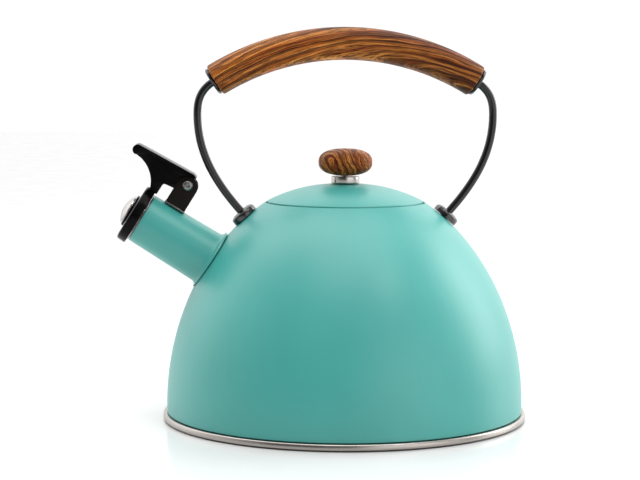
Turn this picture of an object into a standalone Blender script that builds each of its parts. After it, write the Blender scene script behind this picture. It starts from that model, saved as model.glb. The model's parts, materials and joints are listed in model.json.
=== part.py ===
"""Stovetop whistling kettle, as separate pieces in metres, +Z up.

The origin is the centre of the base on the surface that the kettle stands on. The spout
points to -X, and the handle runs along X over the lid. Pieces that turn with the whistle
lever hang from the empty at the hinge pin, and pieces that lift with the lid hang from
the empty on the lid's axis.
"""

import math

import bmesh
import bpy
from mathutils import Matrix, Vector

# Clearances and sheet thicknesses
GAP = 0.0003  # between pieces that touch or are welded
FINE = 1e-6  # distance under which two points of one mesh are one
WALL = 0.0010  # painted steel sheet
SHEET = 0.0008  # bare steel sheet

# Facets round a full turn
LARGE_STEPS = 40
SPOUT_STEPS = 28
SMALL_STEPS = 20
SCREW_STEPS = 12
DOME_STEPS = 11  # along the dome's profile

# Dome of the body: a superellipse turned round Z, on a short upright wall
BODY_RADIUS = 0.1028
DOME_RISE = 0.1295
DOME_BASE = 0.0105  # height at which the wall starts to curve in
DOME_POWER = 1.93
BODY_BOTTOM = 0.0044

# Mouth of the body, a ledge and a collar pressed into the top of the dome
MOUTH_RADIUS = 0.0457
LEDGE_DEPTH = 0.0030
COLLAR_RADIUS = 0.0415
COLLAR_DEPTH = 0.0090

# Base: bead, pan, heat spreader and cap
BEAD_RADIUS = 0.1050
BEAD_INNER = 0.1003
BEAD_TOP = 0.0041
BEAD_BOTTOM = 0.0002
PAN_FLOOR = 0.0036
PAN_RADIUS = 0.1000
PAN_RIM_HEIGHT = 0.0110
SPREADER_RADIUS = 0.0840
CAP_RADIUS = 0.0852

# Lid
LID_RADIUS = 0.0451
LID_TOP = 0.1357
LID_POWER = 2.3
SKIRT_RADIUS = 0.0396
SKIRT_BOTTOM = 0.1165
LID_SEAL_RADIUS = 0.0412
LID_SEAL_RISE = 0.0015  # of the seal over the skirt's lower edge
LID_SEAL_HEIGHT = 0.0025

# Knob on the lid
KNOB_RADIUS = 0.01555
KNOB_BOTTOM = 0.1403
KNOB_TOP = 0.1559
KNOB_POWER = 2.45
KNOB_BORE = 0.0095  # depth of the screw's blind bore
KNOB_FERRULE_RADIUS = 0.00815
FERRULE_EDGE = 0.0004
SCREW_RADIUS = 0.0020
SCREW_HEAD_RADIUS = 0.0039
SCREW_HEAD_HEIGHT = 0.0022
KNOB_WASHER_RADIUS = 0.0055

# Spout: heights below are measured outward along its axis from the mouth, with root negative
SPOUT_MOUTH = Vector((-0.1168, 0.0, 0.1158))
SPOUT_RISE = math.radians(31.8)
SPOUT_RADIUS = 0.0148  # at the mouth
SPOUT_ROOT_RADIUS = 0.0156
SPOUT_FOOT_RADIUS = 0.0182
SPOUT_FLARE_START = -0.0415
SPOUT_FLARE = 0.0038  # length of the flared stretch
SPOUT_END = -0.0560  # before the dome trims it
LIP_HEIGHT = 0.0008
LIP_DEPTH = 0.0060  # of its sleeve inside the spout
LIP_SHEET = 0.0007

# Whistle cap and lever, in the spout's own frame: (outward, above the axis)
PIN_PLACE = (-0.0125, 0.0300)
PIN_RADIUS = 0.0015
PIN_HEAD_RADIUS = 0.00295
PIN_HALF = 0.0062
PIN_HEAD_HEIGHT = 0.0012
KNUCKLE_RADIUS = 0.0054
SLOT_RADIUS = KNUCKLE_RADIUS + 0.0005  # room for the spring between the knuckle's cheeks
SLOT_HALF = 0.0026
CAP_RING_REAR = 0.0012
CAP_RING_FRONT = 0.0069
CAP_RING_RADIUS = 0.0175
GROOVE_INNER = 0.0109  # groove for the seal in the ring's rear face
GROOVE_OUTER = 0.0157
GROOVE_FLOOR = 0.0025
LEVER_HALF = 0.0042
HOLLOW_RADIUS = 0.0182  # of the web's hollow front
NECK_FOOT = 0.0162  # height at which the neck meets the ring's edge
NECK_FRONT = 0.0052
NECK_STEP = 0.0030
THROAT = [(0.0, 0.0236), (-0.0059, 0.0243)]  # corners of the gap between neck and bracket
THUMB_HALF = 0.0085
LEVER_TIP = 0.0224  # centre of the rounded tip
TIP_RADIUS = 0.0030
THUMB_HEIGHT = 0.0374  # of the thumb plate's top over the spout's axis, at the pin
THUMB_SLOPE = -0.050
THUMB_THICKNESS = 0.0016
THUMB_HEEL = 0.0019  # reach of the plate behind the pin
THUMB_THICKENS = 0.0150  # where the plate starts to thicken to its tip

# Whistle in the ring, and the seal round it
WHISTLE_HOLE = 0.0086
WHISTLE_SHEET = 0.0005
WHISTLE_VENT = 0.0020
WHISTLE_REAR = -0.0020
WHISTLE_FRONT = 0.0066
WHISTLE_FLANGE = 0.0104
PLATE_REAR = 0.0012
SEAL_INNER = 0.0112
SEAL_OUTER = 0.0154
SEAL_FRONT = 0.0022
COLLAR_INNER = 0.0076
COLLAR_OUTER = 0.00975
COLLAR_FRONT = 0.0085
FRONT_EDGE = 0.0088  # radius of the domed front
FRONT_RISE = 0.0029
FRONT_VENT = 0.0016

# Hinge bracket on the spout
EAR_INNER = 0.0047
EAR_OUTER = 0.0059
EAR_HALF = 0.0062
SADDLE_BOTTOM = 0.0154
SADDLE_THICKNESS = 0.0007
BRACKET_BASE = 0.0012
WIRE_RADIUS = 0.00035  # of the return spring
COIL_RADIUS = 0.0026
COIL_TURNS = 3.75
COIL_PITCH = 0.0009
SPRING_LEG = 0.0022

# Handle: an arc of wood on two bent rods
GRIP_ARC = 0.1413
GRIP_TOP_CENTRE = 0.21605  # height of the grip's centreline over the lid
GRIP_HALF_ANGLE = math.radians(32.0)
GRIP_HALF_DEPTH = 0.0135
GRIP_HALF_HEIGHT = 0.00945
GRIP_POWER = 2.4
GRIP_EDGE = 0.0016
FERRULE_SCALE = 0.87
FERRULE_THICKNESS = 0.0018
ROD_RADIUS = 0.0023
ROD_BULGE = Vector((0.0850, 0.0, 0.1755))  # widest place of each rod
ROD_SOCKET = 0.012
STUD_LENGTH = 0.007
STUD_HOLE = ROD_RADIUS + 0.0004

# Bosses where the rods meet the dome
BOSS_PLACE = 0.0572  # distance of each boss from the kettle's axis
BOSS_RADIUS = 0.00775
BOSS_HEIGHT = 0.0047
BOSS_FOOT = 0.0001  # of its skirt, which hides the seal
BOSS_SKIRT = 0.0012
BOSS_SEAL_BOTTOM = 0.0004
BOSS_SEAL_TOP = 0.0010
STUD_WASHER_RADIUS = 0.0065
STUD_WASHER_TOP = -WALL - 0.0005
NUT_RADIUS = 0.0046
NUT_HEIGHT = 0.0032

# Lengths of cutters that only have to reach past what they cut
PAST_HINGE = 0.0200
PAST_EARS = 0.0500
PAST_SOCKET = 0.0100
PAST_STUD = (-0.0080, 0.0040)
SPOUT_HOLE = (-0.0600, -0.0340)


def material(name, colour, roughness, metallic=0.0):
    """Return a Principled material."""
    made = bpy.data.materials.new(name)
    made.use_nodes = True
    shader = made.node_tree.nodes["Principled BSDF"]
    shader.inputs["Base Color"].default_value = (*colour, 1.0)
    shader.inputs["Roughness"].default_value = roughness
    shader.inputs["Metallic"].default_value = metallic
    return made


def place_object(name, data, finish, place=None, parent=None):
    """Put mesh or curve data in the scene at a world placement, under an optional parent."""
    made = bpy.data.objects.new(name, data)
    bpy.context.collection.objects.link(made)
    made.data.materials.append(finish)
    made.matrix_world = place or Matrix()
    if parent:
        made.parent = parent
        made.matrix_parent_inverse = parent.matrix_world.inverted()
    return made


def solid(name, shape, finish, place=None, parent=None):
    """Turn a bmesh into a shaded object."""
    bmesh.ops.remove_doubles(shape, verts=shape.verts, dist=FINE)
    bmesh.ops.recalc_face_normals(shape, faces=shape.faces)
    data = bpy.data.meshes.new(name)
    shape.to_mesh(data)
    shape.free()
    data.shade_smooth()
    data.set_sharp_from_angle(angle=math.radians(30))
    return place_object(name, data, finish, place, parent)


def helper(name, shape, place=None):
    """Make a solid that only cuts or joins, and is never seen."""
    made = solid(name, shape, GUIDE, place)
    made.hide_render = True
    made.display_type = "WIRE"
    return made


def turned(outline, steps):
    """Spin an outline of (radius, height) points round local Z; one that ends on Z stays open there."""
    shape = bmesh.new()
    corners = [shape.verts.new((radius, 0.0, height)) for radius, height in outline]
    ends_on_axis = outline[0][0] == 0 and outline[-1][0] == 0
    following = corners[1:] if ends_on_axis else corners[1:] + corners[:1]
    edges = [shape.edges.new(pair) for pair in zip(corners, following)]
    bmesh.ops.spin(
        shape, geom=corners + edges, cent=(0, 0, 0), axis=(0, 0, 1),
        angle=math.tau, steps=steps, use_merge=True,
    )
    return shape


def prism(outline, low, high):
    """Extrude an outline of (outward, above) points of the spout's frame from y = low to y = high."""
    shape = bmesh.new()
    ends = [
        [shape.verts.new((above, y, outward)) for outward, above in outline]
        for y in (low, high)
    ]
    return capped(shape, ends)


def lofted(rings):
    """Skin a stack of rings of points and close both ends."""
    shape = bmesh.new()
    return capped(shape, [[shape.verts.new(point) for point in ring] for ring in rings])


def capped(shape, rings):
    """Join neighbouring rings of vertices with quads and close the first and the last ring."""
    for near, far in zip(rings, rings[1:]):
        for index in range(len(near)):
            shape.faces.new((near[index - 1], near[index], far[index], far[index - 1]))
    shape.faces.new(rings[0])
    shape.faces.new(rings[-1])
    return shape


def combine(target, other, operation):
    """Cut another solid from the target, or join it on."""
    change = target.modifiers.new(f"{operation.lower()} {other.name}", "BOOLEAN")
    change.object = other
    change.operation = operation
    change.solver = "EXACT"


def rod(name, points, radius, finish, rounding):
    """Make a round bar with closed ends along the points."""
    data = bpy.data.curves.new(name, "CURVE")
    data.dimensions = "3D"
    data.bevel_depth = radius
    data.bevel_resolution = rounding
    data.use_fill_caps = True
    spline = data.splines.new("POLY")
    spline.points.add(len(points) - 1)
    for spot, point in zip(spline.points, points):
        spot.co = (*point, 1.0)
    return place_object(name, data, finish)


def arc(centre, radius, start, end, steps):
    """Return steps + 1 points of a circle in 2D, from one angle in degrees to another."""
    angles = [math.radians(start + (end - start) * step / steps) for step in range(steps + 1)]
    return [(centre[0] + radius * math.cos(a), centre[1] + radius * math.sin(a)) for a in angles]


def bezier(start, first, second, end, steps):
    """Return the points of a cubic curve between start and end, without the start."""
    points = []
    for step in range(1, steps + 1):
        t = step / steps
        s = 1 - t
        points.append(s**3 * start + 3 * s * s * t * first + 3 * s * t * t * second + t**3 * end)
    return points


def dome_height(radius, offset=0.0):
    """Height of the dome at a radius, with the whole dome offset outward."""
    share = (radius / (BODY_RADIUS + offset)) ** DOME_POWER
    return DOME_BASE + (DOME_RISE + offset) * (1 - share) ** (1 / DOME_POWER)


def dome_normal(radius):
    """Outward unit normal of the dome at a radius, in the XZ plane on the +X side."""
    step = 1e-5
    fall = (dome_height(radius - step) - dome_height(radius + step)) / (2 * step)
    return Vector((fall, 0.0, 1.0)).normalized()


def dome_curve(top_radius, offset, steps):
    """Points of the dome from its upright wall to a radius near the top."""
    last = math.acos((top_radius / (BODY_RADIUS + offset)) ** (DOME_POWER / 2))
    points = []
    for step in range(steps + 1):
        angle = last * step / steps
        radius = (BODY_RADIUS + offset) * math.cos(angle) ** (2 / DOME_POWER)
        height = DOME_BASE + (DOME_RISE + offset) * math.sin(angle) ** (2 / DOME_POWER)
        points.append((radius, height))
    return points


def lid_height(radius, offset=0.0):
    """Height of the lid's top at a radius; its edge is flush with the dome."""
    fall = (LID_TOP - dome_height(LID_RADIUS)) * (radius / LID_RADIUS) ** LID_POWER
    return LID_TOP - fall + offset


def spout_frame():
    """Placement whose Z runs out of the spout and whose X points up, square to it."""
    outward = Vector((-math.cos(SPOUT_RISE), 0.0, math.sin(SPOUT_RISE)))
    across = Vector((0.0, 1.0, 0.0))
    above = across.cross(outward)
    turn = Matrix((above, across, outward)).transposed().to_4x4()
    return Matrix.Translation(SPOUT_MOUTH) @ turn


def aimed(point, direction):
    """Placement at a point with local Z along a direction."""
    return Matrix.Translation(point) @ direction.to_track_quat("Z", "Y").to_matrix().to_4x4()


def ring(inner, outer, low, high):
    """Outline of a plain ring."""
    return [(inner, low), (outer, low), (outer, high), (inner, high)]


# ------------------------------------------------------------------------------- body


def bar(radius, low, high):
    """Outline of a plain round bar."""
    return [(0, low), (radius, low), (radius, high), (0, high)]


def body_outline():
    """Outline of the painted shell, with its pressed ledge and collar at the mouth."""
    rim = dome_height(MOUTH_RADIUS)
    ledge = rim - LEDGE_DEPTH
    collar = rim - COLLAR_DEPTH
    back = MOUTH_RADIUS + WALL
    outside = [(BODY_RADIUS, BODY_BOTTOM)] + dome_curve(MOUTH_RADIUS, 0.0, DOME_STEPS)
    mouth = [(MOUTH_RADIUS, ledge), (COLLAR_RADIUS, ledge), (COLLAR_RADIUS, collar)]
    behind = [
        (COLLAR_RADIUS + WALL, collar),
        (COLLAR_RADIUS + WALL, ledge - WALL),
        (back, ledge - WALL),
    ]
    inside = dome_curve(back, -WALL, DOME_STEPS)[::-1] + [(BODY_RADIUS - WALL, BODY_BOTTOM)]
    return outside + mouth + behind + inside


def make_body():
    """The painted dome, open where the spout, the lid and the two studs pass."""
    shell = solid("body_shell", turned(body_outline(), LARGE_STEPS), TEAL)
    bore = SPOUT_ROOT_RADIUS - 1.2 * WALL
    root = helper("spout_hole", turned(bar(bore, *SPOUT_HOLE), SPOUT_STEPS), spout_frame())
    combine(shell, root, "DIFFERENCE")
    for side in (-1, 1):
        combine(shell, stud_cutter(side), "DIFFERENCE")


def make_base():
    """The steel bead, the pan that closes the body, and the sandwich base under it."""
    bead = [
        (BEAD_INNER, BEAD_BOTTOM),
        (BEAD_RADIUS - 0.0010, BEAD_BOTTOM),
        (BEAD_RADIUS - 0.0002, BEAD_BOTTOM + 0.0007),
        (BEAD_RADIUS, 0.0020),
        (BEAD_RADIUS - 0.0004, BEAD_TOP - 0.0006),
        (BEAD_RADIUS - 0.0012, BEAD_TOP),
        (BEAD_INNER, BEAD_TOP),
    ]
    solid("seam_bead", turned(bead, LARGE_STEPS), STEEL)
    rim = BODY_RADIUS - WALL - GAP
    pan = [
        (0, PAN_FLOOR),
        (PAN_RADIUS, PAN_FLOOR),
        (PAN_RADIUS, BEAD_TOP + GAP),
        (rim, BEAD_TOP + GAP),
        (rim, PAN_RIM_HEIGHT),
        (rim - SHEET, PAN_RIM_HEIGHT),
        (rim - SHEET, BEAD_TOP + GAP + SHEET),
        (PAN_RADIUS - SHEET, PAN_FLOOR + SHEET),
        (0, PAN_FLOOR + SHEET),
    ]
    solid("bottom_pan", turned(pan, LARGE_STEPS), STEEL)
    spreader_bottom = SHEET + GAP
    spreader_top = PAN_FLOOR - GAP
    spreader = bar(SPREADER_RADIUS, spreader_bottom, spreader_top)
    solid("heat_spreader", turned(spreader, LARGE_STEPS), ALUMINIUM)
    cap = [
        (0, 0),
        (CAP_RADIUS - 0.0006, 0),
        (CAP_RADIUS, 0.0006),
        (CAP_RADIUS, spreader_top),
        (CAP_RADIUS - SHEET, spreader_top),
        (CAP_RADIUS - SHEET, SHEET),
        (0, SHEET),
    ]
    solid("base_cap", turned(cap, LARGE_STEPS), STEEL)


# ------------------------------------------------------------------------------ spout


def spout_outline():
    """Outline of the spout's sheet: nearly straight, with a flared foot on the dome."""
    flare_end = SPOUT_FLARE_START - SPOUT_FLARE
    outside = [(SPOUT_RADIUS, 0.0), (SPOUT_ROOT_RADIUS, SPOUT_FLARE_START)]
    rise = SPOUT_FOOT_RADIUS - SPOUT_ROOT_RADIUS
    for step in (1, 2, 3):
        angle = math.radians(30 * step)
        radius = SPOUT_ROOT_RADIUS + rise * (1 - math.cos(angle))
        outside.append((radius, SPOUT_FLARE_START - SPOUT_FLARE * math.sin(angle)))
    outside.append((SPOUT_FOOT_RADIUS, SPOUT_END))
    inside = [
        (SPOUT_FOOT_RADIUS - WALL, SPOUT_END),
        (SPOUT_FOOT_RADIUS - WALL, flare_end - WALL),
        (SPOUT_ROOT_RADIUS - WALL, SPOUT_FLARE_START - WALL),
        (SPOUT_RADIUS - WALL, 0.0),
    ]
    return outside + inside


def make_spout():
    """The painted spout, trimmed to the dome, and the bare steel lip in its mouth."""
    tube = solid("spout_tube", turned(spout_outline(), SPOUT_STEPS), TEAL, spout_frame())
    envelope = dome_curve(0.0, GAP, DOME_STEPS + 3)
    trimmer = helper("dome_envelope", turned([(0, 0), (BODY_RADIUS + GAP, 0)] + envelope,
                                             LARGE_STEPS))
    combine(tube, trimmer, "DIFFERENCE")
    sleeve = SPOUT_RADIUS - WALL - 0.0004
    rim = SPOUT_RADIUS - 0.0001
    lip = [
        (sleeve - LIP_SHEET, -LIP_DEPTH),
        (sleeve, -LIP_DEPTH),
        (sleeve, GAP),
        (rim, GAP),
        (rim, LIP_HEIGHT),
        (sleeve - LIP_SHEET, LIP_HEIGHT),
    ]
    solid("spout_lip", turned(lip, SPOUT_STEPS), STEEL, spout_frame())


def ear_outline(bottom):
    """Outline of one hinge ear, straight sides and a round top."""
    middle = PIN_PLACE[0]
    top_centre = (middle, PIN_PLACE[1] - 0.0010)
    return [(middle - EAR_HALF, bottom), (middle + EAR_HALF, bottom)] + arc(
        top_centre, EAR_HALF, 0, 180, 8)


def make_hinge():
    """The saddle plate on the spout, the bracket with two ears, the rivet pin and its spring."""
    frame = spout_frame()
    middle = PIN_PLACE[0]
    bottom = SADDLE_BOTTOM + SADDLE_THICKNESS + GAP
    saddle = [
        (middle - EAR_HALF - GAP, SADDLE_BOTTOM),
        (middle + EAR_HALF + GAP, SADDLE_BOTTOM),
        (middle + EAR_HALF + GAP, SADDLE_BOTTOM + SADDLE_THICKNESS),
        (middle - EAR_HALF - GAP, SADDLE_BOTTOM + SADDLE_THICKNESS),
    ]
    solid("hinge_saddle", prism(saddle, -EAR_OUTER - GAP, EAR_OUTER + GAP), STEEL, frame)
    bracket = solid("hinge_bracket", prism(ear_outline(bottom), -EAR_OUTER, EAR_OUTER),
                    BLACK_METAL, frame)
    base = bottom + BRACKET_BASE
    beyond = EAR_HALF * 1.5
    room = [(middle - beyond, base), (middle + beyond, base), (middle + beyond, PAST_EARS),
            (middle - beyond, PAST_EARS)]
    combine(bracket, helper("bracket_room", prism(room, -EAR_INNER, EAR_INNER), frame), "DIFFERENCE")
    ear_bore = helper("ear_bore", turned(pin_bore(), SCREW_STEPS), pin_frame())
    combine(bracket, ear_bore, "DIFFERENCE")
    head = [
        (0, -PIN_HALF - PIN_HEAD_HEIGHT),
        (PIN_HEAD_RADIUS * 0.65, -PIN_HALF - 0.75 * PIN_HEAD_HEIGHT),
        (PIN_HEAD_RADIUS, -PIN_HALF),
        (PIN_RADIUS, -PIN_HALF),
    ]
    pin = head + [(radius, -height) for radius, height in head[::-1]]
    solid("hinge_pin", turned(pin, SCREW_STEPS), STEEL, pin_frame())
    make_spring(base)


def make_spring(floor):
    """The torsion spring round the pin, with one leg on the bracket's floor and one short leg."""
    per_turn = 8
    middle = Vector((PIN_PLACE[1], 0.0, PIN_PLACE[0]))
    foot = floor + WIRE_RADIUS + GAP - PIN_PLACE[1]
    points = [middle + Vector((foot, -COIL_PITCH * COIL_TURNS / 2, -COIL_RADIUS))]
    for step in range(int(COIL_TURNS * per_turn) + 1):
        angle = math.tau * step / per_turn
        along = COIL_PITCH * (step / per_turn - COIL_TURNS / 2)
        points.append(middle + Vector((COIL_RADIUS * math.sin(angle), along,
                                       -COIL_RADIUS * math.cos(angle))))
    points.append(points[-1] + Vector((0.0, 0.0, SPRING_LEG)))
    frame = spout_frame()
    rod("hinge_spring", [frame @ point for point in points], WIRE_RADIUS, STEEL, 1)


def pin_bore():
    """Outline of the bar that cuts the pin's hole."""
    return bar(PIN_RADIUS + GAP, -PAST_HINGE, PAST_HINGE)


def pin_frame():
    """Placement at the hinge pin with local Z along world Y."""
    outward, above = PIN_PLACE
    return aimed(spout_frame() @ Vector((above, 0.0, outward)), Vector((0.0, 1.0, 0.0)))


# ---------------------------------------------------------------------- whistle lever


def thumb_top(outward):
    """Height of the thumb plate's top face."""
    return THUMB_HEIGHT + THUMB_SLOPE * (outward - PIN_PLACE[0])


def thumb_outline():
    """Side outline of the wide thumb plate: a thin slab with a rounded, thicker tip."""
    tip_centre = (LEVER_TIP, thumb_top(LEVER_TIP) - TIP_RADIUS)
    heel = PIN_PLACE[0] - THUMB_HEEL
    shoulder = PIN_PLACE[0] + 0.0010
    under = thumb_top(heel) - THUMB_THICKNESS
    return (
        arc(tip_centre, TIP_RADIUS, -90, 90, 6)
        + [(shoulder, thumb_top(shoulder)), (heel, under + 0.0010)]
        + [(heel, under), (THUMB_THICKENS, thumb_top(THUMB_THICKENS) - THUMB_THICKNESS)]
    )


def web_outline():
    """Side outline of the lever's web: hollowed front, neck down to the cap ring, knuckle at the pin."""
    outward, above = PIN_PLACE
    under = thumb_top(LEVER_TIP) - 2 * TIP_RADIUS
    hollow = arc((LEVER_TIP, under - HOLLOW_RADIUS), HOLLOW_RADIUS, 90, 165, 8)
    root = NECK_FOOT - 0.0012
    foot = [(NECK_FRONT, root), (NECK_STEP, root), (NECK_STEP - 0.0002, NECK_FOOT), (0.0001, NECK_FOOT)]
    knuckle = arc(PIN_PLACE, KNUCKLE_RADIUS, 270, 150, 6)
    half_plate = THUMB_THICKNESS / 2
    top = [(outward, thumb_top(outward) - half_plate), (LEVER_TIP, thumb_top(LEVER_TIP) - half_plate)]
    return hollow + foot + THROAT + knuckle + top


def make_lever(parent):
    """The black lever in one piece: thumb plate, web, knuckle cheeks and the ring that holds the whistle."""
    frame = spout_frame()
    ring_outline = [
        (WHISTLE_HOLE, CAP_RING_REAR),
        (GROOVE_INNER, CAP_RING_REAR),
        (GROOVE_INNER, GROOVE_FLOOR),
        (GROOVE_OUTER, GROOVE_FLOOR),
        (GROOVE_OUTER, CAP_RING_REAR),
        (CAP_RING_RADIUS, CAP_RING_REAR),
        (CAP_RING_RADIUS - 0.0006, CAP_RING_FRONT - 0.0010),
        (CAP_RING_RADIUS - 0.0016, CAP_RING_FRONT),
        (WHISTLE_HOLE, CAP_RING_FRONT),
    ]
    lever = solid("whistle_lever", turned(ring_outline, SPOUT_STEPS), BLACK_PLASTIC, frame, parent)
    web = helper("lever_web", prism(web_outline(), -LEVER_HALF, LEVER_HALF), frame)
    combine(lever, web, "UNION")
    thumb = helper("lever_thumb", prism(thumb_outline(), -THUMB_HALF, THUMB_HALF), frame)
    combine(lever, thumb, "UNION")
    slot = helper("lever_slot", prism(arc(PIN_PLACE, SLOT_RADIUS, 0, 330, 11), -SLOT_HALF, SLOT_HALF), frame)
    combine(lever, slot, "DIFFERENCE")
    lever_bore = helper("lever_bore", turned(pin_bore(), SCREW_STEPS), pin_frame())
    combine(lever, lever_bore, "DIFFERENCE")


def make_whistle(parent):
    """The silicone seal and the whistle: cup, inner plate, retaining ring and steel dome."""
    frame = spout_frame()
    seal = ring(SEAL_INNER, SEAL_OUTER, LIP_HEIGHT + GAP, SEAL_FRONT)
    solid("whistle_seal", turned(seal, SPOUT_STEPS), SILICONE, frame, parent)
    tube = WHISTLE_HOLE - GAP
    inner = tube - WHISTLE_SHEET
    flange_front = CAP_RING_REAR - GAP
    flange_rear = flange_front - WHISTLE_SHEET
    cup = [
        (WHISTLE_VENT, WHISTLE_REAR),
        (tube, WHISTLE_REAR),
        (tube, flange_rear),
        (WHISTLE_FLANGE, flange_rear),
        (WHISTLE_FLANGE, flange_front),
        (tube, flange_front),
        (tube, WHISTLE_FRONT),
        (inner, WHISTLE_FRONT),
        (inner, WHISTLE_REAR + WHISTLE_SHEET),
        (WHISTLE_VENT, WHISTLE_REAR + WHISTLE_SHEET),
    ]
    solid("whistle_cup", turned(cup, SMALL_STEPS), STEEL, frame, parent)
    plate = ring(WHISTLE_VENT, inner - GAP, PLATE_REAR, PLATE_REAR + WHISTLE_SHEET)
    solid("whistle_plate", turned(plate, SMALL_STEPS), STEEL, frame, parent)
    collar = ring(COLLAR_INNER, COLLAR_OUTER, CAP_RING_FRONT + GAP, COLLAR_FRONT)
    solid("whistle_collar", turned(collar, SPOUT_STEPS), BLACK_PLASTIC, frame, parent)
    base = COLLAR_FRONT + GAP
    steps = 5
    outside = []
    inside = []
    for step in range(steps + 1):
        radius = FRONT_EDGE + (FRONT_VENT - FRONT_EDGE) * step / steps
        height = base + FRONT_RISE * (1 - (radius / FRONT_EDGE) ** 2)
        outside.append((radius, height + WHISTLE_SHEET))
        inside.append((radius, height))
    solid("whistle_dome", turned(outside + inside[::-1], SMALL_STEPS), STEEL, frame, parent)


# -------------------------------------------------------------------------------- lid


def make_lid(parent):
    """The painted lid with its skirt and seal, and the wooden knob on a steel ferrule and screw."""
    hole = SCREW_RADIUS + GAP
    steps = 7
    radii = [hole + (LID_RADIUS - hole) * step / steps for step in range(steps + 1)]
    ledge = dome_height(MOUTH_RADIUS) - LEDGE_DEPTH
    under_radii = radii[:-1] + [LID_RADIUS - WALL]
    cover = (
        [(radius, lid_height(radius)) for radius in radii]
        + [(LID_RADIUS, ledge + GAP), (LID_RADIUS - WALL, ledge + GAP)]
        + [(radius, lid_height(radius, -WALL)) for radius in under_radii[::-1]]
    )
    solid("lid_cover", turned(cover, LARGE_STEPS), TEAL, parent=parent)
    skirt_top = lid_height(SKIRT_RADIUS, -WALL) - GAP
    skirt = ring(SKIRT_RADIUS - SHEET, SKIRT_RADIUS, SKIRT_BOTTOM, skirt_top)
    solid("lid_skirt", turned(skirt, LARGE_STEPS), STEEL, parent=parent)
    seal_bottom = SKIRT_BOTTOM + LID_SEAL_RISE
    seal = ring(SKIRT_RADIUS + GAP, LID_SEAL_RADIUS, seal_bottom, seal_bottom + LID_SEAL_HEIGHT)
    solid("lid_seal", turned(seal, LARGE_STEPS), SILICONE, parent=parent)
    bottom = LID_TOP + GAP
    top = KNOB_BOTTOM - GAP
    ferrule = [
        (hole, bottom),
        (KNOB_FERRULE_RADIUS - FERRULE_EDGE, bottom),
        (KNOB_FERRULE_RADIUS, bottom + FERRULE_EDGE),
        (KNOB_FERRULE_RADIUS, top - FERRULE_EDGE),
        (KNOB_FERRULE_RADIUS - FERRULE_EDGE, top),
        (hole, top),
    ]
    solid("knob_ferrule", turned(ferrule, SMALL_STEPS), STEEL, parent=parent)
    make_knob(parent)


def make_knob(parent):
    """The turned knob, and the screw and washer that hold it from under the lid."""
    hole = SCREW_RADIUS + GAP
    bore_top = KNOB_BOTTOM + KNOB_BORE
    middle = (KNOB_TOP + KNOB_BOTTOM) / 2
    half = (KNOB_TOP - KNOB_BOTTOM) / 2
    first = math.asin((hole / KNOB_RADIUS) ** (KNOB_POWER / 2))
    outline = [(0, bore_top), (hole, bore_top)]
    steps = 12
    for step in range(steps):
        angle = first + (math.pi - first) * step / steps
        radius = KNOB_RADIUS * math.sin(angle) ** (2 / KNOB_POWER)
        rise = math.copysign(abs(math.cos(angle)) ** (2 / KNOB_POWER), -math.cos(angle))
        outline.append((radius, middle + half * rise))
    outline.append((0, KNOB_TOP))
    solid("knob", turned(outline, SMALL_STEPS), WOOD, parent=parent)
    under = LID_TOP - WALL - GAP
    washer = ring(hole, KNOB_WASHER_RADIUS, under - SHEET, under)
    solid("knob_washer", turned(washer, SCREW_STEPS), STEEL, parent=parent)
    head_top = under - SHEET - GAP
    head_bottom = head_top - SCREW_HEAD_HEIGHT
    screw = [
        (0, head_bottom),
        (0.77 * SCREW_HEAD_RADIUS, head_bottom),
        (SCREW_HEAD_RADIUS, head_bottom + 0.36 * SCREW_HEAD_HEIGHT),
        (SCREW_HEAD_RADIUS, head_top),
        (SCREW_RADIUS, head_top),
        (SCREW_RADIUS, bore_top - GAP),
        (0, bore_top - GAP),
    ]
    solid("knob_screw", turned(screw, SCREW_STEPS), STEEL, parent=parent)


# ----------------------------------------------------------------------------- handle


def boss_foot(side):
    """Point on the dome under one boss, and the dome's normal there."""
    normal = dome_normal(BOSS_PLACE)
    foot = Vector((side * BOSS_PLACE, 0.0, dome_height(BOSS_PLACE)))
    return foot, Vector((side * normal.x, 0.0, normal.z))


def stud_cutter(side):
    """Round bar that cuts the hole for one stud through the dome, or through its nut."""
    foot, normal = boss_foot(side)
    return helper(f"stud_hole_{side}", turned(bar(STUD_HOLE, *PAST_STUD), SCREW_STEPS), aimed(foot, normal))


def grip_end(side):
    """Centre of one end face of the grip, and the direction out of it."""
    angle = GRIP_HALF_ANGLE
    centre_height = GRIP_TOP_CENTRE - GRIP_ARC
    centre = Vector((side * GRIP_ARC * math.sin(angle), 0.0,
                     centre_height + GRIP_ARC * math.cos(angle)))
    return centre, Vector((side * math.cos(angle), 0.0, -math.sin(angle)))


def grip_ring(angle, scale):
    """Oval ring of the grip at an angle from its middle."""
    sides = 18
    centre = Vector((0.0, 0.0, GRIP_TOP_CENTRE - GRIP_ARC))
    outward = Vector((math.sin(angle), 0.0, math.cos(angle)))
    points = []
    for side in range(sides):
        turn = math.tau * (side + 0.5) / sides
        depth = math.copysign(abs(math.cos(turn)) ** (2 / GRIP_POWER), math.cos(turn))
        rise = math.copysign(abs(math.sin(turn)) ** (2 / GRIP_POWER), math.sin(turn))
        reach = GRIP_ARC + GRIP_HALF_HEIGHT * scale * rise
        points.append(centre + outward * reach + Vector((0, GRIP_HALF_DEPTH * scale * depth, 0)))
    return points


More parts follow.
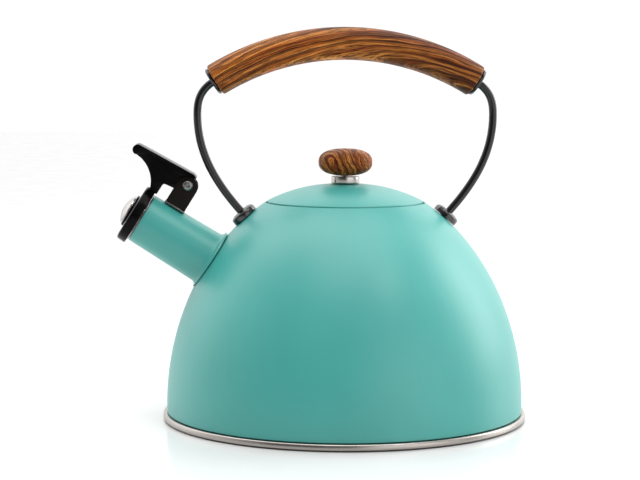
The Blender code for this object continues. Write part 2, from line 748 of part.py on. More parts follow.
def make_grip():
    """The wooden grip with a socket in each end, and the dark oval ferrules."""
    bevel = GRIP_EDGE / GRIP_ARC
    middle_steps = 12
    last = GRIP_HALF_ANGLE - bevel
    stations = [(-GRIP_HALF_ANGLE, 0.92)]
    stations += [(-last + 2 * last * step / middle_steps, 1.0) for step in range(middle_steps + 1)]
    stations += [(GRIP_HALF_ANGLE, 0.92)]
    grip = solid("grip", lofted([grip_ring(angle, scale) for angle, scale in stations]), WOOD)
    for side, name in ((-1, "left"), (1, "right")):
        face, outward = grip_end(side)
        start = (GAP + 0.00002) / GRIP_ARC
        thickness = FERRULE_THICKNESS / GRIP_ARC
        rings = [
            grip_ring(side * (GRIP_HALF_ANGLE + start), FERRULE_SCALE),
            grip_ring(side * (GRIP_HALF_ANGLE + start + 0.6 * thickness), FERRULE_SCALE),
            grip_ring(side * (GRIP_HALF_ANGLE + start + thickness), FERRULE_SCALE * 0.88),
        ]
        ferrule = solid(f"{name}_grip_ferrule", lofted(rings), BLACK_METAL)
        bore = bar(ROD_RADIUS + GAP, -ROD_SOCKET - 0.001, PAST_SOCKET)
        socket = helper(f"{name}_socket", turned(bore, SCREW_STEPS), aimed(face, outward))
        combine(grip, socket, "DIFFERENCE")
        combine(ferrule, socket, "DIFFERENCE")


def rod_points(side):
    """Centreline of one rod, from its socket in the grip to its stud inside the body."""
    face, outward = grip_end(side)
    foot, normal = boss_foot(side)
    bulge = Vector((side * ROD_BULGE.x, 0.0, ROD_BULGE.z))
    down = Vector((0.0, 0.0, -1.0))
    upper_pull = 0.009
    bulge_pull = 0.021
    lower_pull = 0.024
    boss_top = foot + normal * BOSS_HEIGHT
    upper = bezier(face, face + outward * upper_pull, bulge - down * upper_pull, bulge, 6)
    lower = bezier(bulge, bulge + down * bulge_pull, boss_top + normal * lower_pull, boss_top, 8)
    return [face - outward * ROD_SOCKET, face] + upper + lower + [foot - normal * STUD_LENGTH]


def make_rods():
    """The bent rods, and at each foot a domed boss on a seal, with a washer and a nut inside."""
    recess = BOSS_RADIUS - BOSS_SKIRT
    recess_top = BOSS_SEAL_TOP + GAP
    boss = [
        (STUD_HOLE, recess_top),
        (recess, recess_top),
        (recess, BOSS_FOOT),
        (BOSS_RADIUS, BOSS_FOOT),
        (BOSS_RADIUS, BOSS_HEIGHT * 0.60),
        (BOSS_RADIUS * 0.93, BOSS_HEIGHT * 0.82),
        (BOSS_RADIUS * 0.72, BOSS_HEIGHT * 0.96),
        (STUD_HOLE + 0.0006, BOSS_HEIGHT),
        (STUD_HOLE, BOSS_HEIGHT),
    ]
    washer_bottom = STUD_WASHER_TOP - SHEET
    nut_top = washer_bottom - GAP
    for side, name in ((-1, "left"), (1, "right")):
        rod(f"{name}_rod", rod_points(side), ROD_RADIUS, BLACK_METAL, 2)
        foot, normal = boss_foot(side)
        place = aimed(foot, normal)
        seal = ring(STUD_HOLE, recess - GAP, BOSS_SEAL_BOTTOM, BOSS_SEAL_TOP)
        solid(f"{name}_boss_seal", turned(seal, SMALL_STEPS), SILICONE, place)
        solid(f"{name}_boss", turned(boss, SMALL_STEPS), BLACK_METAL, place)
        washer = ring(STUD_HOLE, STUD_WASHER_RADIUS, washer_bottom, STUD_WASHER_TOP)
        solid(f"{name}_stud_washer", turned(washer, SCREW_STEPS), STEEL, place)
        nut_bar = bar(NUT_RADIUS, nut_top - NUT_HEIGHT, nut_top)
        nut = solid(f"{name}_stud_nut", turned(nut_bar, 6), STEEL, place)
        combine(nut, stud_cutter(side), "DIFFERENCE")


# --------------------------------------------------------------------------- assembly

for old in list(bpy.data.objects):
    bpy.data.objects.remove(old)

TEAL = material("teal_paint", (0.13, 0.50, 0.44), 0.55)
STEEL = material("brushed_steel", (0.62, 0.60, 0.57), 0.28, 1.0)
ALUMINIUM = material("aluminium", (0.75, 0.75, 0.75), 0.4, 1.0)
BLACK_METAL = material("black_coating", (0.012, 0.011, 0.011), 0.35)
BLACK_PLASTIC = material("black_plastic", (0.012, 0.012, 0.013), 0.3)
SILICONE = material("silicone", (0.05, 0.05, 0.05), 0.6)
WOOD = material("wood", (0.33, 0.15, 0.05), 0.45)
GUIDE = material("guide", (0.5, 0.5, 0.5), 0.5)

lever_pivot = bpy.data.objects.new("lever_pivot", None)
bpy.context.collection.objects.link(lever_pivot)
lever_pivot.matrix_world = pin_frame()
lid_axis = bpy.data.objects.new("lid_axis", None)
bpy.context.collection.objects.link(lid_axis)
lid_axis.location = (0.0, 0.0, dome_height(MOUTH_RADIUS))
bpy.context.view_layer.update()

make_body()
make_base()
make_spout()
make_hinge()
make_lever(lever_pivot)
make_whistle(lever_pivot)
make_lid(lid_axis)
make_grip()
make_rods()
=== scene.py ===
"""Finished look of a stovetop whistling kettle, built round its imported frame.

Lengths are in metres and +Z is up. The spout points to -X, and the handle runs along X over
the lid. Every piece stands for one node of the frame and rides on that node's body.
"""

import json
import logging
import math
from collections.abc import Callable, Sequence
from dataclasses import dataclass
from enum import Enum
from functools import cache

import bmesh
import bpy
from mathutils import Matrix, Vector


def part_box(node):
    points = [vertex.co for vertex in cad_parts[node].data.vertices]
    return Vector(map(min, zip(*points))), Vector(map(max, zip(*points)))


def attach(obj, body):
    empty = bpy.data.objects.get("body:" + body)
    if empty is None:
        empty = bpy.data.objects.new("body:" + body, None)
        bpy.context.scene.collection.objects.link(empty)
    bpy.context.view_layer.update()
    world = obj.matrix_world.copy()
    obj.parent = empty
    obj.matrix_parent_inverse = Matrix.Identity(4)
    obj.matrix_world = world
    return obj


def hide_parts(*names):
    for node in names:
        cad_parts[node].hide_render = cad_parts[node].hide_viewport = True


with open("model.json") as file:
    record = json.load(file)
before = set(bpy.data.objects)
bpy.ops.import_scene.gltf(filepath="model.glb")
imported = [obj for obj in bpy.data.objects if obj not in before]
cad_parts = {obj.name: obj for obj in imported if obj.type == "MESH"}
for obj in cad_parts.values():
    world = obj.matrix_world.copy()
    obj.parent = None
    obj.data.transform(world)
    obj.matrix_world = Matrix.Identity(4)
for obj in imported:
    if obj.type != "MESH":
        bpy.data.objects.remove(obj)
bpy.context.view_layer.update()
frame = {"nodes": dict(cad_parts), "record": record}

LOG = logging.getLogger("kettle")

Point2 = tuple[float, float]
Corner = tuple[float, float, float]
Colour = tuple[float, float, float]
Shape = bmesh.types.BMesh
Material = bpy.types.Material

GAP = 0.0003  # between pieces that touch
WALL = 0.0010  # painted sheet
SHEET = 0.0008  # bare sheet
THIN = 0.0005  # sheet of the whistle
TINY = 1e-7
FINE_STEPS = 192
ROUND_STEPS = 96
SMALL_STEPS = 48
SHARP_ANGLE = math.radians(38)
SIDES = ((-1, "left"), (1, "right"))
WORLD_Y = Vector((0.0, 1.0, 0.0))
DOWN = Vector((0.0, 0.0, -1.0))


class Join(Enum):
    """Ways to combine two closed shapes."""

    UNION = "UNION"
    CUT = "DIFFERENCE"


# --- shader writing


class Signal:
    """An output of a shader tree that can be used in sums."""

    def __init__(self, tree: "ShaderTree", socket: bpy.types.NodeSocket) -> None:
        """Keep the socket and the tree that it belongs to."""
        self.tree = tree
        self.socket = socket

    def __add__(self, other: "Level") -> "Signal":
        """Sum of two levels."""
        return self.tree.maths("ADD", self, other)

    def __sub__(self, other: "Level") -> "Signal":
        """Difference of two levels."""
        return self.tree.maths("SUBTRACT", self, other)

    def __rsub__(self, other: "Level") -> "Signal":
        """Difference with the number first."""
        return self.tree.maths("SUBTRACT", other, self)

    def __mul__(self, other: "Level") -> "Signal":
        """Product of two levels."""
        return self.tree.maths("MULTIPLY", self, other)

    def __truediv__(self, other: "Level") -> "Signal":
        """Quotient of two levels."""
        return self.tree.maths("DIVIDE", self, other)

    def fraction(self) -> "Signal":
        """What is left over the whole number below."""
        return self.tree.maths("FRACT", self)

    def root(self) -> "Signal":
        """Square root."""
        return self.tree.maths("SQRT", self)

    __radd__ = __add__
    __rmul__ = __mul__


Level = float | Signal
Setting = float | Colour | Signal
Stops = Sequence[tuple[float, Colour]]


class ShaderTree:
    """Writes the nodes of one material or world."""

    def __init__(self, tree: bpy.types.NodeTree) -> None:
        """Start from an empty node tree."""
        tree.nodes.clear()
        self.tree = tree

    def node(self, kind: str, settings: dict | None = None, sockets: dict | None = None) -> bpy.types.Node:
        """Add one node.

        Args:
            kind: Node type.
            settings: Properties of the node, set first; stops is a list of (place, colour).
            sockets: Values or signals of its input sockets, by name or number.

        Returns:
            The new node.
        """
        made = self.tree.nodes.new(kind)
        for name, value in (settings or {}).items():
            if name == "stops":
                self._set_stops(made.color_ramp, value)
            else:
                setattr(made, name, value)
        for name, value in (sockets or {}).items():
            if isinstance(value, Signal):
                self.tree.links.new(value.socket, made.inputs[name])
            elif isinstance(value, tuple) and made.inputs[name].type == "RGBA":
                made.inputs[name].default_value = (*value, 1.0)
            else:
                made.inputs[name].default_value = value
        return made

    @staticmethod
    def _set_stops(ramp: bpy.types.ColorRamp, stops: Stops) -> None:
        """Give a colour ramp its stops.

        Args:
            ramp: The colour ramp, which starts with two stops.
            stops: Places and colours, two or more.
        """
        while len(ramp.elements) < len(stops):
            ramp.elements.new(1.0)
        for element, (place, colour) in zip(ramp.elements, stops):
            element.position = place
            element.color = (*colour, 1.0)

    def signal(self, node: bpy.types.Node, output: str | int = 0) -> Signal:
        """An output of a node as a signal."""
        return Signal(self, node.outputs[output])

    def maths(self, operation: str, *terms: Level) -> Signal:
        """A Math node on one, two or three levels."""
        return self.signal(self.node("ShaderNodeMath", {"operation": operation}, dict(enumerate(terms))))

    def place(self) -> Signal:
        """Point of the surface in the piece's own frame."""
        return self.signal(self.node("ShaderNodeTexCoord"), "Object")

    def split(self, vector: Signal) -> tuple[Signal, Signal, Signal]:
        """The three numbers of a vector."""
        made = self.node("ShaderNodeSeparateXYZ", None, {0: vector})
        return self.signal(made, 0), self.signal(made, 1), self.signal(made, 2)

    def join(self, x: Level, y: Level, z: Level) -> Signal:
        """A vector of three levels."""
        return self.signal(self.node("ShaderNodeCombineXYZ", None, {0: x, 1: y, 2: z}))

    def noise(self, place: Signal, scale: float, detail: float = 2.0, roughness: float = 0.5) -> Signal:
        """Soft noise between 0 and 1 at a scale in cycles per metre."""
        sockets = {"Vector": place, "Scale": scale, "Detail": detail, "Roughness": roughness}
        return self.signal(self.node("ShaderNodeTexNoise", None, sockets), "Fac")

    def smooth(self, level: Level, low: float, high: float) -> Signal:
        """Smooth rise from 0 at low to 1 at high."""
        sockets = {"Value": level, "From Min": low, "From Max": high}
        return self.signal(self.node("ShaderNodeMapRange", {"interpolation_type": "SMOOTHSTEP"}, sockets))

    def ramp(self, level: Level, stops: Stops) -> Signal:
        """Colour of a level from a list of stops."""
        return self.signal(self.node("ShaderNodeValToRGB", {"stops": stops}, {"Fac": level}))

    def blend(self, share: Level, first: Setting, second: Setting) -> Signal:
        """Mix of two colours by a share between 0 and 1."""
        made = self.node("ShaderNodeMix", {"data_type": "RGBA"}, {0: share, 6: first, 7: second})
        return self.signal(made, 2)

    def bump(self, height: Signal, depth: float) -> Signal:
        """Normal of a surface whose height varies by a depth in metres."""
        sockets = {"Height": height, "Strength": 1.0, "Distance": depth}
        return self.signal(self.node("ShaderNodeBump", None, sockets))

    def surface(self, **sockets: Setting) -> None:
        """Close the tree with a Principled shader.

        Args:
            sockets: Its inputs, with the words of a name joined by _.
        """
        named = {name.replace("_", " "): value for name, value in sockets.items()}
        shader = self.node("ShaderNodeBsdfPrincipled", None, named)
        self.node("ShaderNodeOutputMaterial", None, {"Surface": self.signal(shader)})


# --- finishes


class Finish:
    """A procedural material."""

    name: str

    def write(self, tree: ShaderTree) -> None:
        """Write the surface into an empty tree."""
        raise NotImplementedError

    @cache
    def make(self) -> Material:
        """Build the material, once for each finish.

        Returns:
            The material.
        """
        made = bpy.data.materials.new(self.name)
        made.use_nodes = True
        self.write(ShaderTree(made.node_tree))
        return made


@dataclass(frozen=True)
class TealEnamel(Finish):
    """Satin teal enamel, with a faint orange peel and a fine powder grain."""

    name: str = "teal_enamel"
    colour: Colour = (0.054, 0.375, 0.335)
    deep: Colour = (0.048, 0.350, 0.314)
    roughness: float = 0.38
    peel_scale: float = 900.0
    grain_scale: float = 4200.0
    peel_depth: float = 0.000012

    def write(self, tree: ShaderTree) -> None:
        """Write clouded paint.

        Args:
            tree: Tree that the nodes go in.
        """
        place = tree.place()
        cloud = tree.noise(place, 17.0, 3.0)
        peel = tree.noise(place, self.peel_scale)
        grain = tree.noise(place, self.grain_scale)
        tree.surface(
            Base_Color=tree.blend(tree.smooth(cloud, 0.3, 0.7), self.colour, self.deep),
            Roughness=self.roughness + 0.05 * (cloud - 0.5) + 0.04 * (grain - 0.5),
            Normal=tree.bump(0.75 * peel + 0.25 * grain, self.peel_depth),
            Specular_IOR_Level=0.68,
        )


@dataclass(frozen=True)
class TurnedSteel(Finish):
    """Stainless steel with fine lines round the piece's own axis."""

    name: str = "brushed_steel"
    colour: Colour = (0.60, 0.575, 0.55)
    stained: Colour = (0.50, 0.47, 0.44)
    roughness: float = 0.22
    line_scale: float = 5200.0
    line_depth: float = 0.000004
    anisotropic: float = 0.35
    # near-black colour of the painted contact shadow along the foot
    contact_shade_colour: Colour = (0.045, 0.030, 0.024)
    contact_shade_height: float = 0.0  # below this height the steel is darkened with painted contact shadow

    def write(self, tree: ShaderTree) -> None:
        """Write lined metal, with painted contact shadow darkening its foot where it has one.

        Args:
            tree: Tree that the nodes go in.
        """
        place = tree.place()
        x, y, z = tree.split(place)
        radius = (x * x + y * y).root() + 1e-6
        across = self.line_scale * (0.8 * radius + 1.3 * z)
        lines = tree.noise(tree.join(across, 2.0 * (x / radius), 2.0 * (y / radius)), 1.0, 3.0, 0.6)
        cloud = tree.noise(place, 60.0)
        colour = tree.blend(0.6 * lines + 0.4 * cloud, self.stained, self.colour)
        # painted contact shadow: the colour darkens to near black towards the bottom of the piece
        if self.contact_shade_height:
            foot = tree.smooth(z, 0.4 * self.contact_shade_height, self.contact_shade_height)
            colour = tree.blend(foot, self.contact_shade_colour, colour)
        tree.surface(
            Base_Color=colour,
            Metallic=1.0,
            Roughness=self.roughness + 0.16 * (lines - 0.5) + 0.05 * (cloud - 0.5),
            Normal=tree.bump(lines, self.line_depth),
            Anisotropic=self.anisotropic,
        )


@dataclass(frozen=True)
class BlackCoating(Finish):
    """Black coating or plastic, satin or glossy, with a fine texture."""

    name: str = "black_coating"
    colour: Colour = (0.0025, 0.002, 0.002)
    dusty: Colour = (0.005, 0.0042, 0.004)
    roughness: float = 0.18
    texture_depth: float = 0.000006
    specular: float = 0.50
    ior: float = 1.5

    def write(self, tree: ShaderTree) -> None:
        """Write a dusty black with a fine texture.

        Args:
            tree: Tree that the nodes go in.
        """
        place = tree.place()
        cloud = tree.noise(place, 90.0, 3.0)
        texture = tree.noise(place, 3000.0)
        tree.surface(
            Base_Color=tree.blend(tree.smooth(cloud, 0.35, 0.75), self.colour, self.dusty),
            Roughness=self.roughness + 0.10 * (cloud - 0.5) + 0.08 * (texture - 0.5),
            Normal=tree.bump(texture, self.texture_depth),
            Specular_IOR_Level=self.specular,
            IOR=self.ior,
        )


@dataclass(frozen=True)
class Silicone(Finish):
    """Dark grey silicone, dull and a little uneven."""

    name: str = "dark_silicone"
    colour: Colour = (0.045, 0.045, 0.047)
    dusty: Colour = (0.075, 0.074, 0.073)

    def write(self, tree: ShaderTree) -> None:
        """Write dull rubber.

        Args:
            tree: Tree that the nodes go in.
        """
        place = tree.place()
        cloud = tree.noise(place, 240.0, 3.0)
        tree.surface(
            Base_Color=tree.blend(cloud, self.colour, self.dusty),
            Roughness=0.62 + 0.12 * (cloud - 0.5),
            Normal=tree.bump(tree.noise(place, 2600.0), 0.000015),
            Specular_IOR_Level=0.35,
        )


@dataclass(frozen=True)
class RolledAluminium(Finish):
    """Plain rolled aluminium sheet."""

    name: str = "rolled_aluminium"
    colour: Colour = (0.78, 0.78, 0.79)
    dull: Colour = (0.62, 0.62, 0.63)

    def write(self, tree: ShaderTree) -> None:
        """Write metal with straight rolling lines.

        Args:
            tree: Tree that the nodes go in.
        """
        x, y, z = tree.split(tree.place())
        lines = tree.noise(tree.join(40.0 * x, 3000.0 * y, 3000.0 * z), 1.0, 3.0)
        tree.surface(
            Base_Color=tree.blend(lines, self.dull, self.colour),
            Metallic=1.0,
            Roughness=0.38 + 0.14 * (lines - 0.5),
            Normal=tree.bump(lines, 0.000005),
        )


@dataclass(frozen=True)
class PaleFloor(Finish):
    """Pale, faintly glossy studio floor."""

    name: str = "pale_floor"
    low: Colour = (0.75, 0.75, 0.75)
    high: Colour = (0.78, 0.78, 0.78)

    def write(self, tree: ShaderTree) -> None:
        """Write a hazy pale surface.

        Args:
            tree: Tree that the nodes go in.
        """
        haze = tree.noise(tree.place(), 30.0, 3.0)
        tree.surface(
            Base_Color=tree.blend(haze, self.low, self.high),
            Roughness=0.14 + 0.04 * haze,
            Specular_IOR_Level=0.20,
        )


@dataclass(frozen=True)
class OiledWood(Finish):
    """Lacquered tropical wood: tan and orange streaks between dark, uneven rings."""

    name: str
    ring_width: float
    line_reach: float = 0.0  # distance across the rings at which the dark lines fade, or 0 for never
    pale: Colour = (0.70, 0.270, 0.055)
    tan: Colour = (0.43, 0.128, 0.020)
    orange: Colour = (0.34, 0.068, 0.009)
    brown: Colour = (0.052, 0.010, 0.002)
    dark: Colour = (0.010, 0.003, 0.0015)

    def grain(self, tree: ShaderTree, place: Signal) -> tuple[Signal, Signal, Level]:
        """Distance across the rings, a vector stretched along the grain, and the share of heartwood."""
        raise NotImplementedError

    @staticmethod
    def line(tree: ShaderTree, turn: Signal, start: float) -> Signal:
        """Dark line of each ring: it builds up slowly from start and ends at once."""
        phase = turn.fraction()
        return tree.smooth(phase, start, 0.90) * (1.0 - tree.smooth(phase, 0.94, 1.0))

    def write(self, tree: ShaderTree) -> None:
        """Write the rings, the streaks and the pores.

        Args:
            tree: Tree that the nodes go in.
        """
        rings, stretched, heart = self.grain(tree, tree.place())
        turn = rings * (1.0 / self.ring_width) + 20.0
        edge = self.line(tree, turn, 0.36)
        uneven = tree.smooth(tree.noise(stretched, 0.16, 2.0), 0.30, 0.56)
        thin = self.line(tree, 3.3 * turn + 0.35, 0.42)
        thin_share = tree.smooth(tree.noise(stretched, 0.30, 2.0), 0.38, 0.62)
        streak = tree.noise(stretched, 0.42, 3.0, 0.6)
        fibre = tree.noise(stretched, 2.2, 3.0, 0.65)
        patches = tree.smooth(tree.noise(stretched, 0.30, 3.0, 0.6), 0.46, 0.56)
        pores = tree.smooth(tree.noise(stretched, 2.9, 2.0, 0.6), 0.55, 0.64)
        darkness = (0.20 + 0.25 * heart + 0.52 * uneven) * edge
        if self.line_reach:
            darkness = darkness * (1.0 - 0.8 * tree.smooth(rings, self.line_reach, 1.15 * self.line_reach))
        stops = ((0.34, self.orange), (0.46, self.tan), (0.56, self.pale), (0.66, self.orange))
        colour = tree.ramp(streak, stops)
        colour = tree.blend(0.85 * (thin * thin_share), colour, self.brown)
        colour = tree.blend(heart * (0.34 + 0.60 * patches), colour, self.brown)
        colour = tree.blend(darkness, colour, self.dark)
        colour = tree.blend(0.80 * tree.smooth(fibre, 0.45, 0.62), colour, self.brown)
        colour = tree.blend(0.80 * pores, colour, self.dark)
        tree.surface(
            Base_Color=colour,
            Roughness=0.46 + 0.12 * (edge * uneven) + 0.10 * (fibre - 0.5),
            Normal=tree.bump(0.5 * fibre - 0.5 * (edge * uneven), 0.000035),
            Specular_IOR_Level=0.12,
        )


@dataclass(frozen=True)
class GripWood(OiledWood):
    """Wood whose grain runs along the arc of the grip and drifts across it."""

    arc_radius: float = 0.0  # of the grip's centreline
    arc_centre: float = 0.0  # height of that arc's centre

    def grain(self, tree: ShaderTree, place: Signal) -> tuple[Signal, Signal, Level]:
        """Grain of a point, measured along the arc.

        Args:
            tree: Tree that the nodes go in.
            place: Point of the surface.

        Returns:
            Distance across the rings, a vector stretched along the grain, and the share of heartwood.
        """
        x, y, z = tree.split(place)
        rise = z - self.arc_centre
        along = self.arc_radius * tree.maths("ARCTAN2", x, rise)
        above = (x * x + rise * rise).root() - self.arc_radius
        drift = 0.115 * along + 0.40 * (along * along)
        across = above - drift + 0.35 * y
        broad = tree.noise(tree.join(17.0 * along, 70.0 * across, 45.0 * y), 1.0, 2.0) - 0.5
        small = tree.noise(tree.join(70.0 * along, 260.0 * across, 120.0 * y), 1.0, 2.0) - 0.5
        rings = across + 0.0075 * broad + 0.0011 * small
        heart = tree.smooth(along + 2.0 * across, -0.030, 0.030)
        return rings, tree.join(26.0 * along, 900.0 * rings, 160.0 * y), heart


@dataclass(frozen=True)
class KnobWood(OiledWood):
    """Wood whose rings run round a knot at the left of the knob, and lean to the right below it."""

    knot: Corner = (0.0, 0.0, 0.0)
    heart: float = 0.3

    def grain(self, tree: ShaderTree, place: Signal) -> tuple[Signal, Signal, Level]:
        """Grain of a point, measured from the knot.

        Args:
            tree: Tree that the nodes go in.
            place: Point of the surface.

        Returns:
            Distance across the rings, a vector stretched along the grain, and the share of heartwood.
        """
        x, y, z = tree.split(place)
        height = z - self.knot[2]
        across = x - self.knot[0] + 0.40 * height
        depth = y - self.knot[1]
        over = tree.maths("MAXIMUM", height, 0.0)
        under = tree.maths("MINIMUM", height, 0.0)
        wave = tree.noise(place, 95.0, 3.0) - 0.5
        kink = tree.noise(place, 330.0, 2.0) - 0.5
        upright = 0.80 * (over * over) + 0.15 * (under * under)
        rings = (across * across + upright + 0.12 * (depth * depth)).root()
        rings = rings + 0.0060 * wave + 0.0014 * kink
        return rings, tree.join(900.0 * rings, 70.0 * y, 90.0 * z), self.heart


TEAL = TealEnamel()
STEEL = TurnedSteel()
BRIGHT = TurnedSteel("polished_steel", (0.49, 0.465, 0.44), (0.36, 0.34, 0.32), 0.17, 4200.0, 0.0000015, 0.2)
# its lowest 1.4 mm is darkened with painted contact shadow where the bead meets the floor
BEAD_STEEL = TurnedSteel("bead_steel", (0.46, 0.42, 0.39), (0.35, 0.315, 0.295), 0.26, contact_shade_height=0.0014)
PIN_STEEL = TurnedSteel("pin_steel", (0.26, 0.25, 0.24), (0.16, 0.155, 0.15), 0.24)
BLACK = BlackCoating()
GLOSSY = BlackCoating("glossy_black", (0.003, 0.0027, 0.0027), (0.006, 0.0055, 0.0055), 0.10, 0.000002, ior=1.7)
MATT = BlackCoating("bracket_black", (0.006, 0.004, 0.003), (0.010, 0.007, 0.005), 0.34, specular=0.10)
PLASTIC = BlackCoating("black_plastic", (0.0012, 0.0012, 0.0016), (0.0028, 0.0028, 0.0034), 0.22, 3e-6, 0.08)
SILICONE = Silicone()


# --- mesh making


def arc(centre: Point2, radius: float, start: float, end: float, steps: int) -> list[Point2]:
    """Points of a circle from one angle in degrees to another."""
    angles = [math.radians(start + (end - start) * step / steps) for step in range(steps + 1)]
    return [(centre[0] + radius * math.cos(a), centre[1] + radius * math.sin(a)) for a in angles]


def eased(edge: float, steps: int) -> list[Point2]:
    """Points of a rounded rim as (inset, rise), from its face to its side."""
    angles = [math.radians(90 * step / steps) for step in range(steps + 1)]
    return [(edge * (1 - math.sin(a)), edge * (1 - math.cos(a))) for a in angles]


def rounded(corners: Sequence[Corner], closed: bool = False, facets: int = 4) -> list[Point2]:
    """Round the corners of an outline.

    Args:
        corners: Points as (first, second, rounding radius); 0 keeps a corner sharp.
        closed: Whether the outline joins up, so that its first and last corner round too.
        facets: Facets of each rounded corner.

    Returns:
        The points of the rounded outline.
    """
    points = []
    for index, (first, second, radius) in enumerate(corners):
        if radius <= 0 or (not closed and index in (0, len(corners) - 1)):
            points.append((first, second))
            continue
        here = Vector((first, second))
        before = (Vector(corners[index - 1][:2]) - here).normalized()
        after = (Vector(corners[(index + 1) % len(corners)][:2]) - here).normalized()
        half = before.angle(after) / 2
        centre = here + (before + after).normalized() * (radius / math.sin(half))
        reach = radius / math.tan(half)
        start = here + before * reach - centre
        end = here + after * reach - centre
        angle = math.atan2(start.y, start.x)
        turn = math.remainder(math.atan2(end.y, end.x) - angle, math.tau)
        points += arc(centre, radius, math.degrees(angle), math.degrees(angle + turn), facets)
    return points


def level_ring(radius: float, height: float, steps: int) -> list[Vector]:
    """Flat ring of points round Z, or one point where the radius is 0."""
    angles = [math.tau * step / steps for step in range(steps if radius > TINY else 1)]
    return [Vector((radius * math.cos(a), radius * math.sin(a), height)) for a in angles]


def lofted(rings: Sequence[Sequence[Vector]], closed: bool = False) -> Shape:
    """Skin a row of rings, any of which may be a single point.

    Args:
        rings: Points of each ring.
        closed: Whether the last ring joins the first; if not, both ends are capped.

    Returns:
        The closed shape.
    """
    shape = bmesh.new()
    made = [[shape.verts.new(point) for point in ring] for ring in rings]
    for near, far in zip(made, made[1:] + (made[:1] if closed else [])):
        for index in range(max(len(near), len(far))):
            four = [near[(index - 1) % len(near)], near[index % len(near)],
                    far[index % len(far)], far[(index - 1) % len(far)]]
            shape.faces.new(list(dict.fromkeys(four)))
    if not closed:
        for end in (made[0], made[-1]):
            if len(end) > 1:
                shape.faces.new(end)
    return shape


def turned(profile: Sequence[Point2], steps: int = ROUND_STEPS) -> Shape:
    """Spin a profile of (radius, height) round Z: one that starts off Z becomes a ring."""
    rings = [level_ring(radius, height, steps) for radius, height in profile]
    return lofted(rings, closed=len(rings[0]) > 1)


def spun(
    corners: Sequence[Corner], steps: int = ROUND_STEPS, closed: bool = True, facets: int = 4
) -> Shape:
    """Spin an outline with rounded corners round Z."""
    return turned(rounded(corners, closed, facets), steps)


def ring(
    inner: float, outer: float, low: float, high: float, edge: float, steps: int = ROUND_STEPS
) -> Shape:
    """Plain ring round Z with rounded edges."""
    return spun([(inner, low, edge), (outer, low, edge), (outer, high, edge), (inner, high, edge)], steps)


def plug(
    radius: float, low: float, high: float, place: Matrix | None = None, steps: int = SMALL_STEPS
) -> Shape:
    """Plain cylinder round the Z of a placement.

    Args:
        radius: Its radius.
        low: Lower end.
        high: Upper end.
        place: Placement that it is moved to.
        steps: Facets of a full turn.

    Returns:
        The closed shape.
    """
    shape = turned([(0.0, low), (radius, low), (radius, high), (0.0, high)], steps)
    shape.transform(place or Matrix())
    return shape


def swept(path: Sequence[Vector], radius: float, sides: int, edge: float = 0.0) -> Shape:
    """Round bar along a path.

    Args:
        path: Points of the centreline.
        radius: Radius of the bar.
        sides: Facets round the bar.
        edge: Bevel at both ends.

    Returns:
        The closed shape.
    """
    last = len(path) - 1
    tangents = [(path[min(i + 1, last)] - path[max(i - 1, 0)]).normalized() for i in range(last + 1)]
    stations = [(point, radius, tangent) for point, tangent in zip(path, tangents)]
    if edge:
        for end, tangent, inner in ((0, tangents[0], path[1]), (len(stations) + 1, tangents[-1], path[-2])):
            tip = path[0] if end == 0 else path[-1]
            stations.insert(end, (tip + (tip - inner).normalized() * edge, radius - edge, tangent))
    across = tangents[0].orthogonal().normalized()
    rings = []
    for point, size, tangent in stations:
        across = (across - tangent * across.dot(tangent)).normalized()
        other = tangent.cross(across)
        angles = [math.tau * side / sides for side in range(sides)]
        rings.append([point + (across * math.cos(a) + other * math.sin(a)) * size for a in angles])
    return lofted(rings)


def inset_outline(outline: Sequence[Point2], depth: float) -> list[Point2]:
    """Move each side of a closed outline inward, with mitred corners.

    Args:
        outline: Its points.
        depth: Distance to move.

    Returns:
        The moved points.
    """
    area = sum(a[0] * b[1] - b[0] * a[1] for a, b in zip(outline, [*outline[1:], outline[0]]))
    turn = 1.0 if area > 0 else -1.0
    moved = []
    for index, point in enumerate(outline):
        before = Vector(point) - Vector(outline[index - 1])
        after = Vector(outline[(index + 1) % len(outline)]) - Vector(point)
        normals = [Vector((-side.y, side.x)).normalized() * turn for side in (before, after)]
        middle = (normals[0] + normals[1]).normalized()
        spot = Vector(point) + middle * (depth / max(middle.dot(normals[0]), 0.4))
        moved.append((spot.x, spot.y))
    return moved


def slab(outline: Sequence[Point2], half: float, edge: float, steps: int = 3) -> Shape:
    """Plate with rounded edges, square to Y.

    Args:
        outline: Side view as (outward, above) points of the spout's frame.
        half: Half of its thickness.
        edge: Rounding radius of both rims.
        steps: Facets of the rounding.

    Returns:
        The closed shape, with x above and z outward.
    """
    rim = eased(edge, steps)
    stack = [(depth, rise - half) for depth, rise in rim]
    stack += [(depth, half - rise) for depth, rise in rim[::-1]]
    rings = []
    for depth, y in stack:
        inner = inset_outline(outline, depth) if depth > TINY else outline
        rings.append([Vector((above, y, outward)) for outward, above in inner])
    return lofted(rings)


def mesh_of(name: str, shape: Shape) -> bpy.types.Mesh:
    """Mesh of a shape, which is freed."""
    data = bpy.data.meshes.new(name)
    shape.to_mesh(data)
    shape.free()
    return data


def placed(name: str, data: bpy.types.ID, place: Matrix | None = None) -> bpy.types.Object:
    """New object of the scene at a placement."""
    made = bpy.data.objects.new(name, data)
    bpy.context.scene.collection.objects.link(made)
    made.matrix_world = place or Matrix()
    return made


